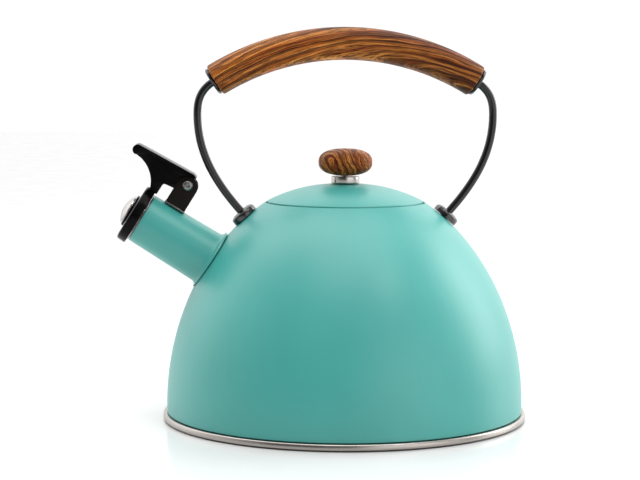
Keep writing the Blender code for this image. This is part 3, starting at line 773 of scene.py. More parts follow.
def combined(first: Shape, second: Shape, how: Join) -> Shape:
    """Join or cut two closed shapes.

    Args:
        first: Shape that is kept or cut.
        second: Shape that is added, or the cutter.
        how: Which of the two.

    Returns:
        The new shape; both old ones are freed.
    """
    helpers = []
    for shape in (first, second):
        bmesh.ops.recalc_face_normals(shape, faces=shape.faces)
        helpers.append(placed("helper", mesh_of("helper", shape)))
    change = helpers[0].modifiers.new("change", "BOOLEAN")
    change.object = helpers[1]
    change.operation = how.value
    change.solver = "EXACT"
    evaluated = helpers[0].evaluated_get(bpy.context.evaluated_depsgraph_get())
    result = bmesh.new()
    result.from_mesh(evaluated.to_mesh())
    evaluated.to_mesh_clear()
    for helper in helpers:
        data = helper.data
        bpy.data.objects.remove(helper)
        bpy.data.meshes.remove(data)
    bmesh.ops.remove_doubles(result, verts=result.verts, dist=TINY)
    bmesh.ops.dissolve_degenerate(result, dist=TINY, edges=result.edges)
    return result


def aimed(point: Vector, direction: Vector, axis: str = "Z") -> Matrix:
    """Placement at a point with a local axis along a direction."""
    return Matrix.Translation(point) @ direction.to_track_quat(axis, "Y").to_matrix().to_4x4()


def bezier(start: Vector, first: Vector, second: Vector, end: Vector, steps: int) -> list[Vector]:
    """Points of a cubic curve, without its start."""
    shares = [(1 - step / steps, step / steps) for step in range(1, steps + 1)]
    return [s**3 * start + 3 * s * s * t * first + 3 * s * t * t * second + t**3 * end for s, t in shares]


@dataclass
class Bench:
    """Turns shapes into pieces, on the bodies that the record gives their nodes."""

    bodies: dict[str, str]
    slots: dict[str, str]
    count: int = 0

    def fit(self, name: str, node: str, shape: Shape, finish: Finish, place: Matrix | None = None,
            bare: Callable[[Vector], bool] | None = None) -> None:
        """Make one piece.

        Args:
            name: Name of the piece.
            node: Node of the frame that it stands for.
            shape: Its closed shape, which is freed.
            finish: Its finish.
            place: Placement of its own frame.
            bare: Test on a face's middle that says where the sheet is plain steel.
        """
        bmesh.ops.recalc_face_normals(shape, faces=shape.faces)
        if bare:
            for face in shape.faces:
                face.material_index = int(bare(face.calc_center_median()))
        data = mesh_of(name, shape)
        for coat in (finish, STEEL) if bare else (finish,):
            data.materials.append(coat.make())
        data.shade_smooth()
        data.set_sharp_from_angle(angle=SHARP_ANGLE)
        piece = placed(name, data, place)
        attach(piece, self.bodies[node])
        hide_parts(node)
        self.count += 1
        LOG.info("%s: %d faces, for %s on %s", name, len(data.polygons), node, self.bodies[node])


# --- the body


@dataclass(frozen=True)
class Dome:
    """Outer form of the body, a superellipse turned round the kettle's axis, and its mouth."""

    radius: float
    rise: float = 0.1295
    base: float = 0.0105
    power: float = 1.93
    mouth: float = 0.0457
    ledge_depth: float = 0.0030

    @property
    def ledge(self) -> float:
        """Height of the ledge that the lid stands on."""
        return self.height(self.mouth) - self.ledge_depth

    def height(self, radius: float, offset: float = 0.0) -> float:
        """Height of the dome at a radius, with the whole dome offset outward."""
        share = (radius / (self.radius + offset)) ** self.power
        return self.base + (self.rise + offset) * (1 - share) ** (1 / self.power)

    def normal(self, radius: float) -> Vector:
        """Outward normal at a radius, on the +X side."""
        step = 1e-5
        return Vector((self.height(radius - step) - self.height(radius + step), 0.0, 2 * step)).normalized()

    def holds(self, point: Vector, offset: float) -> bool:
        """Whether a point lies inside the dome, which is offset outward."""
        share = (math.hypot(point.x, point.y) / (self.radius + offset)) ** self.power
        return share + (max(point.z - self.base, 0.0) / (self.rise + offset)) ** self.power < 1

    def curve(self, top_radius: float, offset: float, steps: int) -> list[Point2]:
        """Points from the upright wall to a radius near the top.

        Args:
            top_radius: Radius of the last point.
            offset: How far the whole dome is offset outward.
            steps: Number of sides.

        Returns:
            Points as (radius, height).
        """
        radius = self.radius + offset
        last = math.acos((top_radius / radius) ** (self.power / 2))
        angles = [last * step / steps for step in range(steps + 1)]
        return [(radius * math.cos(a) ** (2 / self.power),
                 self.base + (self.rise + offset) * math.sin(a) ** (2 / self.power)) for a in angles]


@dataclass
class Vessel:
    """Painted dome, steel bead, inner pan and the sandwich base."""

    bench: Bench
    dome: Dome
    collar_radius: float = 0.0415
    collar_depth: float = 0.0090
    wall_bottom: float = 0.0044
    bead_radius: float = 0.1050
    bead_inner: float = 0.1003
    bead_top: float = 0.0041
    bead_bottom: float = 0.0002
    pan_radius: float = 0.1000
    pan_floor: float = 0.0036
    pan_rim: float = 0.0110
    cap_radius: float = 0.0852

    def shell_outline(self) -> list[Point2]:
        """Section of the dome's sheet, with its pressed ledge and collar.

        Returns:
            Points as (radius, height).
        """
        outer, mouth, bore = self.dome.radius, self.dome.mouth, self.collar_radius
        rim, ledge = self.dome.height(mouth), self.dome.ledge
        collar = rim - self.collar_depth
        outside = [(outer - 0.0003, self.wall_bottom), (outer, self.wall_bottom + 0.0003)]
        outside += self.dome.curve(mouth + 0.0003, 0.0, 72)
        inside = self.dome.curve(mouth + WALL, -WALL, 64)[::-1]
        neck = rounded([
            (*outside[-1], 0.0), (mouth, rim - 0.0004, 0.0004), (mouth, ledge, 0.0005), (bore, ledge, 0.0006),
            (bore, collar, 0.0003), (bore + WALL, collar, 0.0003), (bore + WALL, ledge - WALL, 0.0004),
            (mouth + WALL, ledge - WALL, 0.0004), (*inside[0], 0.0),
        ])
        return outside[:-1] + neck + inside[1:] + [(outer - WALL, self.wall_bottom)]

    def is_inside(self, point: Vector) -> bool:
        """Whether a face's middle is on the bare inner side of the sheet."""
        under = point.z < self.dome.ledge - 0.5 * WALL and self.dome.holds(point, -0.55 * WALL)
        return under and math.hypot(point.x, point.y) > self.collar_radius + 0.4 * WALL

    def make(self, holes: Sequence[Shape]) -> None:
        """Build the four pieces.

        Args:
            holes: Cutters for the spout and the two studs.
        """
        shell = turned(self.shell_outline(), FINE_STEPS)
        for hole in holes:
            shell = combined(shell, hole, Join.CUT)
        self.bench.fit("painted_dome", "body_shell", shell, TEAL, bare=self.is_inside)
        inner, outer, low, high = self.bead_inner, self.bead_radius, self.bead_bottom, self.bead_top
        bead = [(inner, low, 0.0003), (outer - 0.0002, low, 0.0011), (outer, (low + high) / 2, 0.004),
                (outer - 0.0003, high, 0.0011), (inner, high, 0.0002)]
        self.bench.fit("base_bead", "seam_bead", spun(bead, FINE_STEPS, facets=6), BEAD_STEEL)
        rim = self.dome.radius - WALL - GAP
        radius, low, step = self.pan_radius, self.pan_floor, high + GAP
        pan = [(0.0, low, 0.0), (radius, low, 0.0004), (radius, step, 0.0003), (rim, step, 0.0006),
               (rim, self.pan_rim, 0.0003), (rim - SHEET, self.pan_rim, 0.0003),
               (rim - SHEET, step + SHEET, 0.0004), (radius - SHEET, low + SHEET, 0.0006),
               (0.0, low + SHEET, 0.0)]
        self.bench.fit("inner_pan", "bottom_pan", spun(pan, closed=False), STEEL)
        radius, top = self.cap_radius, self.pan_floor - GAP
        cap = [(0.0, 0.0, 0.0), (radius, 0.0, 0.0008), (radius, top, 0.0002), (radius - SHEET, top, 0.0002),
               (radius - SHEET, SHEET, 0.0003), (0.0, SHEET, 0.0)]
        self.bench.fit("base_plate", "base_cap", spun(cap, FINE_STEPS, closed=False), STEEL)


# --- the spout


@dataclass
class Spout:
    """Painted spout with its steel lip, and the hinge on its back."""

    bench: Bench
    dome: Dome
    place: Matrix  # local Z runs out of the spout and local X up, square to it
    radius: float = 0.0148
    root_radius: float = 0.0156
    foot_radius: float = 0.0182
    flare_start: float = -0.0415
    flare: float = 0.0038
    seam: float = 0.0007
    lip_height: float = 0.0008
    pin: Point2 = (-0.0125, 0.0300)
    pin_radius: float = 0.0015
    pin_head: float = 0.00295
    pin_half: float = 0.0062
    ear_inner: float = 0.0047
    ear_outer: float = 0.0059
    ear_half: float = 0.0062
    saddle_bottom: float = 0.0154
    saddle_top: float = 0.0161
    bracket_base: float = 0.0012
    wire: float = 0.00035

    def root_ring(self, radius: float, offset: float) -> list[Vector]:
        """Ring of the spout where it meets the dome.

        Args:
            radius: Distance from the spout's axis.
            offset: Distance kept from the dome.

        Returns:
            The ring in the spout's frame.
        """
        found = level_ring(radius, self.flare_start, ROUND_STEPS)
        for point in found:
            outside = self.flare_start
            inside = outside - 0.035
            for _ in range(40):
                point.z = (outside + inside) / 2
                if self.dome.holds(self.place @ point, offset):
                    inside = point.z
                else:
                    outside = point.z
            point.z = outside
        return found

    def tube(self) -> Shape:
        """The spout's sheet: a mouth, a nearly straight tube and a flared foot cut to the dome.

        Returns:
            The closed shape in the spout's frame.
        """
        radius, root, foot, start = self.radius, self.root_radius, self.foot_radius, self.flare_start
        flare_end = start - self.flare
        shares = [step / 9 for step in range(1, 9)]
        outside = [(radius - 0.0002, 0.0), (radius, -0.0002)]
        outside += [(radius + (root - radius) * share, start * share) for share in shares]
        for step in range(9):
            angle = math.radians(90 * step / 8)
            swell = (foot - root - 0.0003) * (1 - math.cos(angle)) ** 1.3
            outside.append((root + swell, start - self.flare * math.sin(angle)))
        outside.append((foot, flare_end - 0.0004))
        bore = radius - WALL
        inside = [(foot - WALL, flare_end - WALL), (root - WALL, start - WALL)]
        inside += [(bore + (root - radius) * share, (start - WALL) * share) for share in shares[::-1]]
        inside.append((bore, 0.0))
        rings = [level_ring(*point, ROUND_STEPS) for point in outside]
        rings += [self.root_ring(foot, self.seam), self.root_ring(foot - WALL, GAP)]
        return lofted(rings + [level_ring(*point, ROUND_STEPS) for point in inside], closed=True)

    def is_inside(self, point: Vector) -> bool:
        """Whether a face's middle is on the bare inner side of the tube."""
        limit = self.root_radius if point.z < self.flare_start else self.radius
        return math.hypot(point.x, point.y) < limit - 0.6 * WALL

    def hole(self) -> Shape:
        """Cutter for the hole in the dome under the spout, in the kettle's frame."""
        return plug(self.root_radius - 1.2 * WALL, -0.060, -0.034, self.place, ROUND_STEPS)

    def pin_place(self) -> Matrix:
        """Placement at the hinge pin with local Z along world Y."""
        return aimed(self.place @ Vector((self.pin[1], 0.0, self.pin[0])), WORLD_Y)

    def pin_bore(self, clearance: float) -> Shape:
        """Cutter for the pin's hole, in the spout's frame."""
        return plug(self.pin_radius + clearance, -0.02, 0.02, self.place.inverted() @ self.pin_place())

    def saddle(self) -> Shape:
        """Thin steel plate that the bracket stands on, along the top of the spout."""
        middle, half = self.pin[0], self.ear_half + GAP
        return slab([(middle - half, self.saddle_bottom), (middle + half, self.saddle_bottom),
                     (middle + half, self.saddle_top), (middle - half, self.saddle_top)],
                    self.ear_outer + GAP, 0.00015)

    def bracket(self) -> Shape:
        """Bracket with a floor and two round-topped ears.

        Returns:
            The closed shape in the spout's frame.
        """
        middle, height = self.pin
        half, bottom, shoulder = self.ear_half, self.saddle_top + GAP, height - 0.0010
        outline = [(middle - half, shoulder)]
        outline += rounded([(middle - half, bottom, 0.0004), (middle + half, bottom, 0.0004),
                            (middle + half, shoulder, 0.0)], facets=5)
        outline += arc((middle, shoulder), half, 5, 175, 30)
        floor = bottom + self.bracket_base
        left, right, beyond = middle - half * 1.5, middle + half * 1.5, 0.05
        room = slab([(left, floor), (right, floor), (right, beyond), (left, beyond)], self.ear_inner, 0.0004)
        body = combined(slab(outline, self.ear_outer, 0.00036), room, Join.CUT)
        return combined(body, self.pin_bore(0.0001), Join.CUT)

    def rivet(self) -> Shape:
        """Hinge pin with a dimpled, domed head at each end."""
        head, half = self.pin_head, self.pin_half
        side = rounded([
            (0.0, half + 0.0008, 0.0), (0.0010, half + 0.0008, 0.0002), (0.0013, half + 0.0012, 0.0004),
            (head * 0.72, half + 0.0010, 0.0006), (head, half + 0.0004, 0.0003), (head, half, 0.0001),
            (self.pin_radius, half, 0.0),
        ])
        return turned(side + [(radius, -height) for radius, height in side[::-1]], SMALL_STEPS)

    def spring_path(self) -> list[Vector]:
        """Centreline of the torsion spring, with one leg on the bracket's floor.

        Returns:
            Points in the spout's frame.
        """
        coil, turns, pitch, per_turn = 0.0026, 3.75, 0.0009, 28
        floor = self.saddle_top + GAP + self.bracket_base
        middle = Vector((self.pin[1], 0.0, self.pin[0]))
        leg = Vector((floor + self.wire + 0.0001 - self.pin[1], -pitch * turns / 2, -coil))
        points = [middle + leg, middle + Vector((leg.x / 2, leg.y, leg.z))]
        for step in range(int(turns * per_turn) + 1):
            angle = math.tau * step / per_turn
            along = pitch * (step / per_turn - turns / 2)
            points.append(middle + Vector((coil * math.sin(angle), along, -coil * math.cos(angle))))
        return points + [points[-1] + Vector((0.0, 0.0, 0.0022))]

    def make(self) -> None:
        """Build the six pieces of the spout."""
        fit, place = self.bench.fit, self.place
        fit("painted_spout", "spout_tube", self.tube(), TEAL, place, self.is_inside)
        sleeve, rim, top = self.radius - WALL - 0.0004, self.radius - 0.0001, self.lip_height
        lip = [(sleeve - 0.0007, -0.0060, 0.0002), (sleeve, -0.0060, 0.0002), (sleeve, GAP, 0.0001),
               (rim, GAP, 0.0001), (rim, top, 0.0002), (sleeve - 0.0007, top, 0.0004)]
        fit("mouth_lip", "spout_lip", spun(lip), PIN_STEEL, place)
        fit("saddle_strip", "hinge_saddle", self.saddle(), PIN_STEEL, place)
        fit("ear_bracket", "hinge_bracket", self.bracket(), MATT, place)
        fit("rivet_pin", "hinge_pin", self.rivet(), PIN_STEEL, self.pin_place())
        spring = swept(self.spring_path(), self.wire, 12, 0.0001)
        fit("return_spring", "hinge_spring", spring, PIN_STEEL, place)


# --- the whistle flap


@dataclass
class WhistleFlap:
    """Black lever with the whistle in its ring."""

    bench: Bench
    spout: Spout
    ring_rear: float = 0.0012
    ring_front: float = 0.0069
    ring_radius: float = 0.0175
    hole: float = 0.0086
    half_width: float = 0.0042
    thumb_half: float = 0.0085
    knuckle: float = 0.0054
    tip_outward: float = 0.0224
    tip_radius: float = 0.0030
    thumb_height: float = 0.0374
    thumb_slope: float = -0.050
    thumb_thickness: float = 0.0016
    hollow: float = 0.0182
    cup_vent: float = 0.0020
    cup_rear: float = -0.0020
    collar_front: float = 0.0085

    def thumb_top(self, outward: float) -> float:
        """Height of the thumb plate's top face."""
        return self.thumb_height + self.thumb_slope * (outward - self.spout.pin[0])

    def thumb(self) -> Shape:
        """Wide thumb plate with a round, thicker tip.

        Returns:
            The closed shape in the spout's frame.
        """
        tip = (self.tip_outward, self.thumb_top(self.tip_outward) - self.tip_radius)
        heel, waist = self.spout.pin[0] - 0.0019, 0.0150
        under = self.thumb_top(heel) - self.thumb_thickness
        outline = arc(tip, self.tip_radius, -90, 90, 20)
        outline += rounded([
            (*outline[-1], 0.0), (heel + 0.0022, self.thumb_top(heel + 0.0022), 0.0020),
            (heel, under + 0.0006, 0.0006), (heel, under, 0.0002),
            (waist, self.thumb_top(waist) - self.thumb_thickness, 0.0020), (*outline[0], 0.0),
        ])[1:-1]
        return slab(outline, self.thumb_half, 0.0005, 4)

    def web(self) -> Shape:
        """Web under the thumb plate: hollowed front, neck down to the ring, knuckle at the pin.

        Returns:
            The closed shape in the spout's frame.
        """
        ends = (self.spout.pin[0], self.tip_outward)
        under = self.thumb_top(self.tip_outward) - 2 * self.tip_radius
        hollow = arc((self.tip_outward, under - self.hollow), self.hollow, 90, 165, 30)
        foot = [(0.0052, 0.0150), (0.0030, 0.0150), (0.0028, 0.0162), (0.0001, 0.0162)]
        throat = rounded([(*foot[-1], 0.0), (0.0, 0.0236, 0.0014), (-0.0059, 0.0243, 0.0)])[1:]
        knuckle = arc(self.spout.pin, self.knuckle, 270, 150, 16)
        top = [(end, self.thumb_top(end) - self.thumb_thickness / 2) for end in ends]
        return slab(hollow + foot + throat + knuckle + top, self.half_width, 0.00035)

    def lever(self) -> Shape:
        """The moulded lever in one piece, with a groove for the seal and a slot for the spring.

        Returns:
            The closed shape in the spout's frame.
        """
        inner, outer, floor, rear, front = 0.0109, 0.0157, 0.0025, self.ring_rear, self.ring_front
        body = spun([
            (self.hole, rear, 0.0002), (inner, rear, 0.0002), (inner, floor, 0.0002), (outer, floor, 0.0002),
            (outer, rear, 0.0002), (self.ring_radius, rear, 0.0005),
            (self.ring_radius - 0.0003, front - 0.0004, 0.0012), (self.ring_radius - 0.0020, front, 0.0008),
            (self.hole, front, 0.0003),
        ], facets=5)
        slot = slab(arc(self.spout.pin, self.knuckle + 0.0001, 0, 350, 35), 0.0026, 0.0003)
        for part, how in ((self.web(), Join.UNION), (self.thumb(), Join.UNION), (slot, Join.CUT),
                          (self.spout.pin_bore(0.0002), Join.CUT)):
            body = combined(body, part, how)
        return body

    def cup(self) -> Shape:
        """Steel cup of the whistle, with its vent and flange."""
        tube, flange, front, seat = self.hole - GAP, 0.0104, 0.0066, self.ring_rear - GAP
        vent, rear = self.cup_vent, self.cup_rear
        return spun([
            (vent, rear, 0.0001), (tube, rear, 0.0006), (tube, seat - THIN, 0.0002),
            (flange, seat - THIN, 0.0002), (flange, seat, 0.0002), (tube, seat, 0.0), (tube, front, 0.0001),
            (tube - THIN, front, 0.0001), (tube - THIN, rear + THIN, 0.0003), (vent, rear + THIN, 0.0001),
        ])

    def front(self) -> Shape:
        """Domed steel front with its hole."""
        edge, vent, rise, steps = 0.0088, 0.0016, 0.0029, 16
        radii = [edge + (vent - edge) * step / steps for step in range(steps + 1)]
        inside = [(radius, self.collar_front + GAP + rise * (1 - (radius / edge) ** 2)) for radius in radii]
        return turned([(radius, height + THIN) for radius, height in inside] + inside[::-1])

    def make(self) -> None:
        """Build the six pieces of the flap."""
        fit, place = self.bench.fit, self.spout.place
        lever = self.lever()
        lever.transform(place)
        fit("thumb_lever", "whistle_lever", lever, PLASTIC)
        seal = ring(0.0112, 0.0154, self.spout.lip_height + GAP, 0.0022, 0.0004)
        fit("mouth_seal", "whistle_seal", seal, SILICONE, place)
        fit("whistle_cup_steel", "whistle_cup", self.cup(), BRIGHT, place)
        plate = ring(self.cup_vent, self.hole - THIN - 2 * GAP, 0.0012, 0.0012 + THIN, 0.0001, SMALL_STEPS)
        fit("whistle_disc", "whistle_plate", plate, BRIGHT, place)
        collar = ring(0.0076, 0.00975, self.ring_front + GAP, self.collar_front, 0.0003)
        fit("whistle_ring", "whistle_collar", collar, PLASTIC, place)
        fit("whistle_front", "whistle_dome", self.front(), BRIGHT, place)


# --- the lid


@dataclass
class Lid:
    """Painted lid with its sleeve and seal, and the wooden knob."""

    bench: Bench
    dome: Dome
    radius: float = 0.04485
    top: float = 0.1357
    power: float = 2.3
    skirt_radius: float = 0.0396
    skirt_bottom: float = 0.1165
    seal_radius: float = 0.0412
    screw_radius: float = 0.0020
    head_radius: float = 0.0039
    bore_depth: float = 0.0090
    knob_radius: float = 0.01555
    knob_bottom: float = 0.1403
    knob_top: float = 0.1559
    knob_power: float = 2.45
    ferrule_radius: float = 0.00815
    knot: Point2 = (-0.0085, -0.013)

    @property
    def hole(self) -> float:
        """Radius of the holes that the screw passes."""
        return self.screw_radius + GAP

    @property
    def knob_middle(self) -> float:
        """Height of the knob's middle."""
        return (self.knob_top + self.knob_bottom) / 2

    def height(self, radius: float, offset: float = 0.0) -> float:
        """Height of the lid's top at a radius."""
        fall = (self.top - self.dome.height(self.radius)) * (radius / self.radius) ** self.power
        return self.top - fall + offset

    def cover(self) -> Shape:
        """Domed sheet of the lid with its turned-down rim.

        Returns:
            The closed shape.
        """
        steps = 30
        radii = [self.hole + (self.radius - self.hole) * step / steps for step in range(steps + 1)]
        ledge, edge, inner = self.dome.ledge + GAP, self.radius, self.radius - WALL
        rim = rounded([
            (radii[-2], self.height(radii[-2]), 0.0), (edge, self.height(edge), 0.0005),
            (edge, ledge, 0.0003), (inner, ledge, 0.0003), (inner, self.height(inner, -WALL), 0.0004),
            (radii[-3], self.height(radii[-3], -WALL), 0.0),
        ])
        over = [(radius, self.height(radius)) for radius in radii[:-2]]
        under = [(radius, self.height(radius, -WALL)) for radius in radii[-4::-1]]
        return turned(over + rim + under, FINE_STEPS)

    def is_under(self, point: Vector) -> bool:
        """Whether a face's middle is on the bare under side of the lid."""
        reach = math.hypot(point.x, point.y)
        return reach < self.radius - 0.6 * WALL and point.z < self.height(reach, -0.5 * WALL)

    def knob(self) -> Shape:
        """The knob: a flattened ball with a blind bore for the screw.

        Returns:
            The closed shape.
        """
        bore_top, power = self.knob_bottom + self.bore_depth, self.knob_power
        half = (self.knob_top - self.knob_bottom) / 2
        first = math.asin((self.hole / self.knob_radius) ** (power / 2))
        outline = [(0.0, bore_top), (self.hole, bore_top)]
        steps = 48
        for step in range(steps):
            angle = first + (math.pi - first) * step / steps
            radius = self.knob_radius * math.sin(angle) ** (2 / power)
            rise = math.copysign(abs(math.cos(angle)) ** (2 / power), -math.cos(angle))
            outline.append((radius, self.knob_middle + half * rise))
        return turned(outline + [(0.0, self.knob_top)])

    def screw(self, head_top: float) -> Shape:
        """Pan-head screw with a cross recess, from under the lid up into the knob.

        Args:
            head_top: Height of the head's flat side.

        Returns:
            The closed shape.
        """
        low, head = head_top - 0.0022, self.head_radius
        tip = self.knob_bottom + self.bore_depth - GAP
        body = spun([
            (0.0, low, 0.0), (0.0030, low, 0.0010), (head, low + 0.0010, 0.0004), (head, head_top, 0.0002),
            (self.screw_radius, head_top, 0.0001), (self.screw_radius, tip, 0.0003), (0.0, tip, 0.0),
        ], SMALL_STEPS, closed=False)
        half_width, half_length = 0.00035, 0.0018
        square = ((-1, -1), (1, -1), (1, 1), (-1, 1))
        for across, along in ((half_width, half_length), (half_length, half_width)):
            rings = [[Vector((x * across, y * along, height)) for x, y in square]
                     for height in (low - 0.001, low + 0.0011)]
            body = combined(body, lofted(rings), Join.CUT)
        return body

    def make(self) -> None:
        """Build the seven pieces of the lid."""
        fit = self.bench.fit
        fit("painted_lid", "lid_cover", self.cover(), TEAL, bare=self.is_under)
        outer = self.skirt_radius
        skirt = ring(outer - SHEET, outer, self.skirt_bottom, self.height(outer, -WALL) - GAP, 0.0003)
        fit("lid_sleeve", "lid_skirt", skirt, STEEL)
        low = self.skirt_bottom + 0.0015
        seal = ring(outer + GAP, self.seal_radius, low, low + 0.0025, 0.0005)
        fit("sleeve_seal", "lid_seal", seal, SILICONE)
        ferrule = ring(self.hole, self.ferrule_radius, self.top + GAP, self.knob_bottom - GAP, 0.0003)
        fit("knob_collar", "knob_ferrule", ferrule, BRIGHT)
        knot = (*self.knot, self.knob_middle + 0.001)
        fit("wood_knob", "knob", self.knob(), KnobWood("knob_wood", 0.0034, 0.0145, knot=knot))
        under = self.top - WALL - GAP
        washer = ring(self.hole, 0.0055, under - SHEET, under, 0.0002, SMALL_STEPS)
        fit("knob_plain_washer", "knob_washer", washer, BRIGHT)
        fit("knob_bolt", "knob_screw", self.screw(under - SHEET - GAP), BRIGHT)


# --- the handle


@dataclass
class Handle:
    """Wooden grip on two bent rods, which stand in domed bosses on the body."""

    bench: Bench
    dome: Dome
    arc_radius: float = 0.1413
    top_centre: float = 0.21605
    half_angle: float = math.radians(32.0)
    half_depth: float = 0.0135
    half_height: float = 0.00945
    power: float = 2.4
    end_ease: float = 0.0016
    ferrule_scale: float = 0.87
    ferrule_thickness: float = 0.0018
    rod_radius: float = 0.0023
    bulge: Point2 = (0.0850, 0.1755)
    upper_pull: float = 0.009
    bulge_pull: float = 0.021
    lower_pull: float = 0.024
    socket: float = 0.0120
    stud_length: float = 0.0070
    boss_place: float = 0.0572
    boss_radius: float = 0.00775
    boss_height: float = 0.0047
    nut_radius: float = 0.0046
    nut_height: float = 0.0032

    @property
    def arc_centre(self) -> float:
        """Height of the centre of the grip's arc."""
        return self.top_centre - self.arc_radius

    @property
    def stud_hole(self) -> float:
        """Radius of the holes that the studs pass."""
        return self.rod_radius + 0.0004

    def foot(self, side: int) -> tuple[Vector, Vector]:
        """Point on the dome under one boss, and the dome's normal there."""
        normal, height = self.dome.normal(self.boss_place), self.dome.height(self.boss_place)
        return Vector((side * self.boss_place, 0.0, height)), Vector((side * normal.x, 0.0, normal.z))

    def stud_cutter(self, place: Matrix | None = None) -> Shape:
        """Cutter for a stud's hole, in the boss's own frame or at a placement."""
        return plug(self.stud_hole, -0.010, 0.004, place)

    def end(self, side: int) -> tuple[Vector, Vector]:
        """Centre of one end face of the grip, and the direction out of it."""
        across, up = math.sin(self.half_angle), math.cos(self.half_angle)
        centre = Vector((side * self.arc_radius * across, 0.0, self.arc_centre + self.arc_radius * up))
        return centre, Vector((side * up, 0.0, -across))

    def oval(self, angle: float, inset: float, scale: float = 1.0, sides: int = 56) -> list[Vector]:
        """Oval ring of the grip.

        Args:
            angle: Place along the arc, from its middle.
            inset: How far the ring stays inside the full section.
            scale: Size of the full section.
            sides: Points of the ring.

        Returns:
            The points of the ring.
        """
        centre = Vector((0.0, 0.0, self.arc_centre))
        outward = Vector((math.sin(angle), 0.0, math.cos(angle)))
        half_height = self.half_height * scale - inset
        half_depth = self.half_depth * scale - inset
        points = []
        for side in range(sides):
            turn = math.tau * (side + 0.5) / sides
            depth, rise = (math.copysign(abs(part) ** (2 / self.power), part)
                           for part in (math.cos(turn), math.sin(turn)))
            above = outward * (self.arc_radius + half_height * rise)
            points.append(centre + above + WORLD_Y * half_depth * depth)
        return points

    def socket_cutter(self, side: int) -> Shape:
        """Cutter for the rod's socket at one end of the grip."""
        return plug(self.rod_radius + 0.00015, -self.socket - 0.001, 0.01, aimed(*self.end(side)))

    def grip(self) -> Shape:
        """Carved grip with eased ends.

        Returns:
            The closed shape.
        """
        steps = 72
        last = self.half_angle - self.end_ease / self.arc_radius
        rim = eased(self.end_ease, 5)[:-1]
        ends = [(run / self.arc_radius - self.half_angle, inset) for inset, run in rim]
        stations = ends + [(-last + 2 * last * step / steps, 0.0) for step in range(steps + 1)]
        stations += [(-angle, inset) for angle, inset in ends[::-1]]
        body = lofted([self.oval(angle, inset) for angle, inset in stations])
        for side, _ in SIDES:
            body = combined(body, self.socket_cutter(side), Join.CUT)
        return body

    def end_cap(self, side: int) -> Shape:
        """Dark oval cap on one end of the grip.

        Args:
            side: -1 for the left end, 1 for the right.

        Returns:
            The closed shape.
        """
        low = GAP + 0.00002
        high = low + self.ferrule_thickness
        levels = ((low, 0.0004), (low + 0.0002, 0.0), (high - 0.0009, 0.0), (high - 0.0003, 0.0004),
                  (high, 0.0013))
        rings = [self.oval(side * (self.half_angle + run / self.arc_radius), inset, self.ferrule_scale)
                 for run, inset in levels]
        return combined(lofted(rings), self.socket_cutter(side), Join.CUT)

    def rod(self, side: int) -> Shape:
        """One rod, from its socket in the grip to its stud inside the body.

        Args:
            side: -1 for the left rod, 1 for the right.

        Returns:
            The closed shape.
        """
        face, outward = self.end(side)
        spot, normal = self.foot(side)
        bulge = Vector((side * self.bulge[0], 0.0, self.bulge[1]))
        top = spot + normal * self.boss_height
        path = [face - outward * self.socket, face]
        path += bezier(face, face + outward * self.upper_pull, bulge - DOWN * self.upper_pull, bulge, 24)
        path += bezier(bulge, bulge + DOWN * self.bulge_pull, top + normal * self.lower_pull, top, 40)
        return swept(path + [spot - normal * self.stud_length], self.rod_radius, 32)

    def boss(self) -> Shape:
        """Domed boss with a recess for its seal."""
        hole, radius, crown = self.stud_hole, self.boss_radius, self.boss_height
        recess, top, foot = radius - 0.0012, 0.0013, 0.0001
        return spun([
            (hole, top, 0.0), (recess, top, 0.0002), (recess, foot, 0.0002), (radius, foot, 0.0003),
            (radius, crown * 0.74, 0.0019), (radius * 0.62, crown, 0.0024), (hole + 0.0006, crown, 0.0004),
            (hole, crown - 0.0004, 0.0),
        ], closed=False, facets=8)

    def nut(self, high: float) -> Shape:
        """Hexagon nut with chamfered corners.

        Args:
            high: Height of its upper face.

        Returns:
            The closed shape.
        """
        chamfer, longest_chord = 0.0005, 0.002
        blank = plug(self.nut_radius, high - self.nut_height, high, steps=6)
        body = combined(blank, self.stud_cutter(), Join.CUT)
        corners = [edge for edge in body.edges if edge.is_manifold and edge.calc_length() > longest_chord
                   and abs(edge.verts[0].co.z - edge.verts[1].co.z) < TINY
                   and min(v.co.xy.length for v in edge.verts) > 0.9 * self.nut_radius]
        bmesh.ops.bevel(body, geom=corners, offset=chamfer, segments=2, profile=0.5, affect="EDGES")
        return body

    def make(self) -> None:
        """Build the grip, and on each side its cap, rod, boss, seal, washer and nut."""
        fit, hole = self.bench.fit, self.stud_hole
        wood = GripWood("grip_wood", 0.0036, arc_radius=self.arc_radius, arc_centre=self.arc_centre)
        fit("wood_grip", "grip", self.grip(), wood)
        washer_top = -WALL - 0.0005
        washer_low = washer_top - SHEET
        for side, name in SIDES:
            place = aimed(*self.foot(side))
            seal = ring(hole, self.boss_radius - 0.0015, 0.0004, 0.0010, 0.0002)
            washer = ring(hole, 0.0065, washer_low, washer_top, 0.0002, SMALL_STEPS)
            fit(f"{name}_end_cap", f"{name}_grip_ferrule", self.end_cap(side), BLACK)
            fit(f"{name}_handle_rod", f"{name}_rod", self.rod(side), BLACK)
            fit(f"{name}_foot_boss", f"{name}_boss", self.boss(), GLOSSY, place)
            fit(f"{name}_foot_seal", f"{name}_boss_seal", seal, SILICONE, place)
            fit(f"{name}_inner_washer", f"{name}_stud_washer", washer, BRIGHT, place)
            fit(f"{name}_inner_nut", f"{name}_stud_nut", self.nut(washer_low - GAP), BRIGHT, place)


# --- the studio


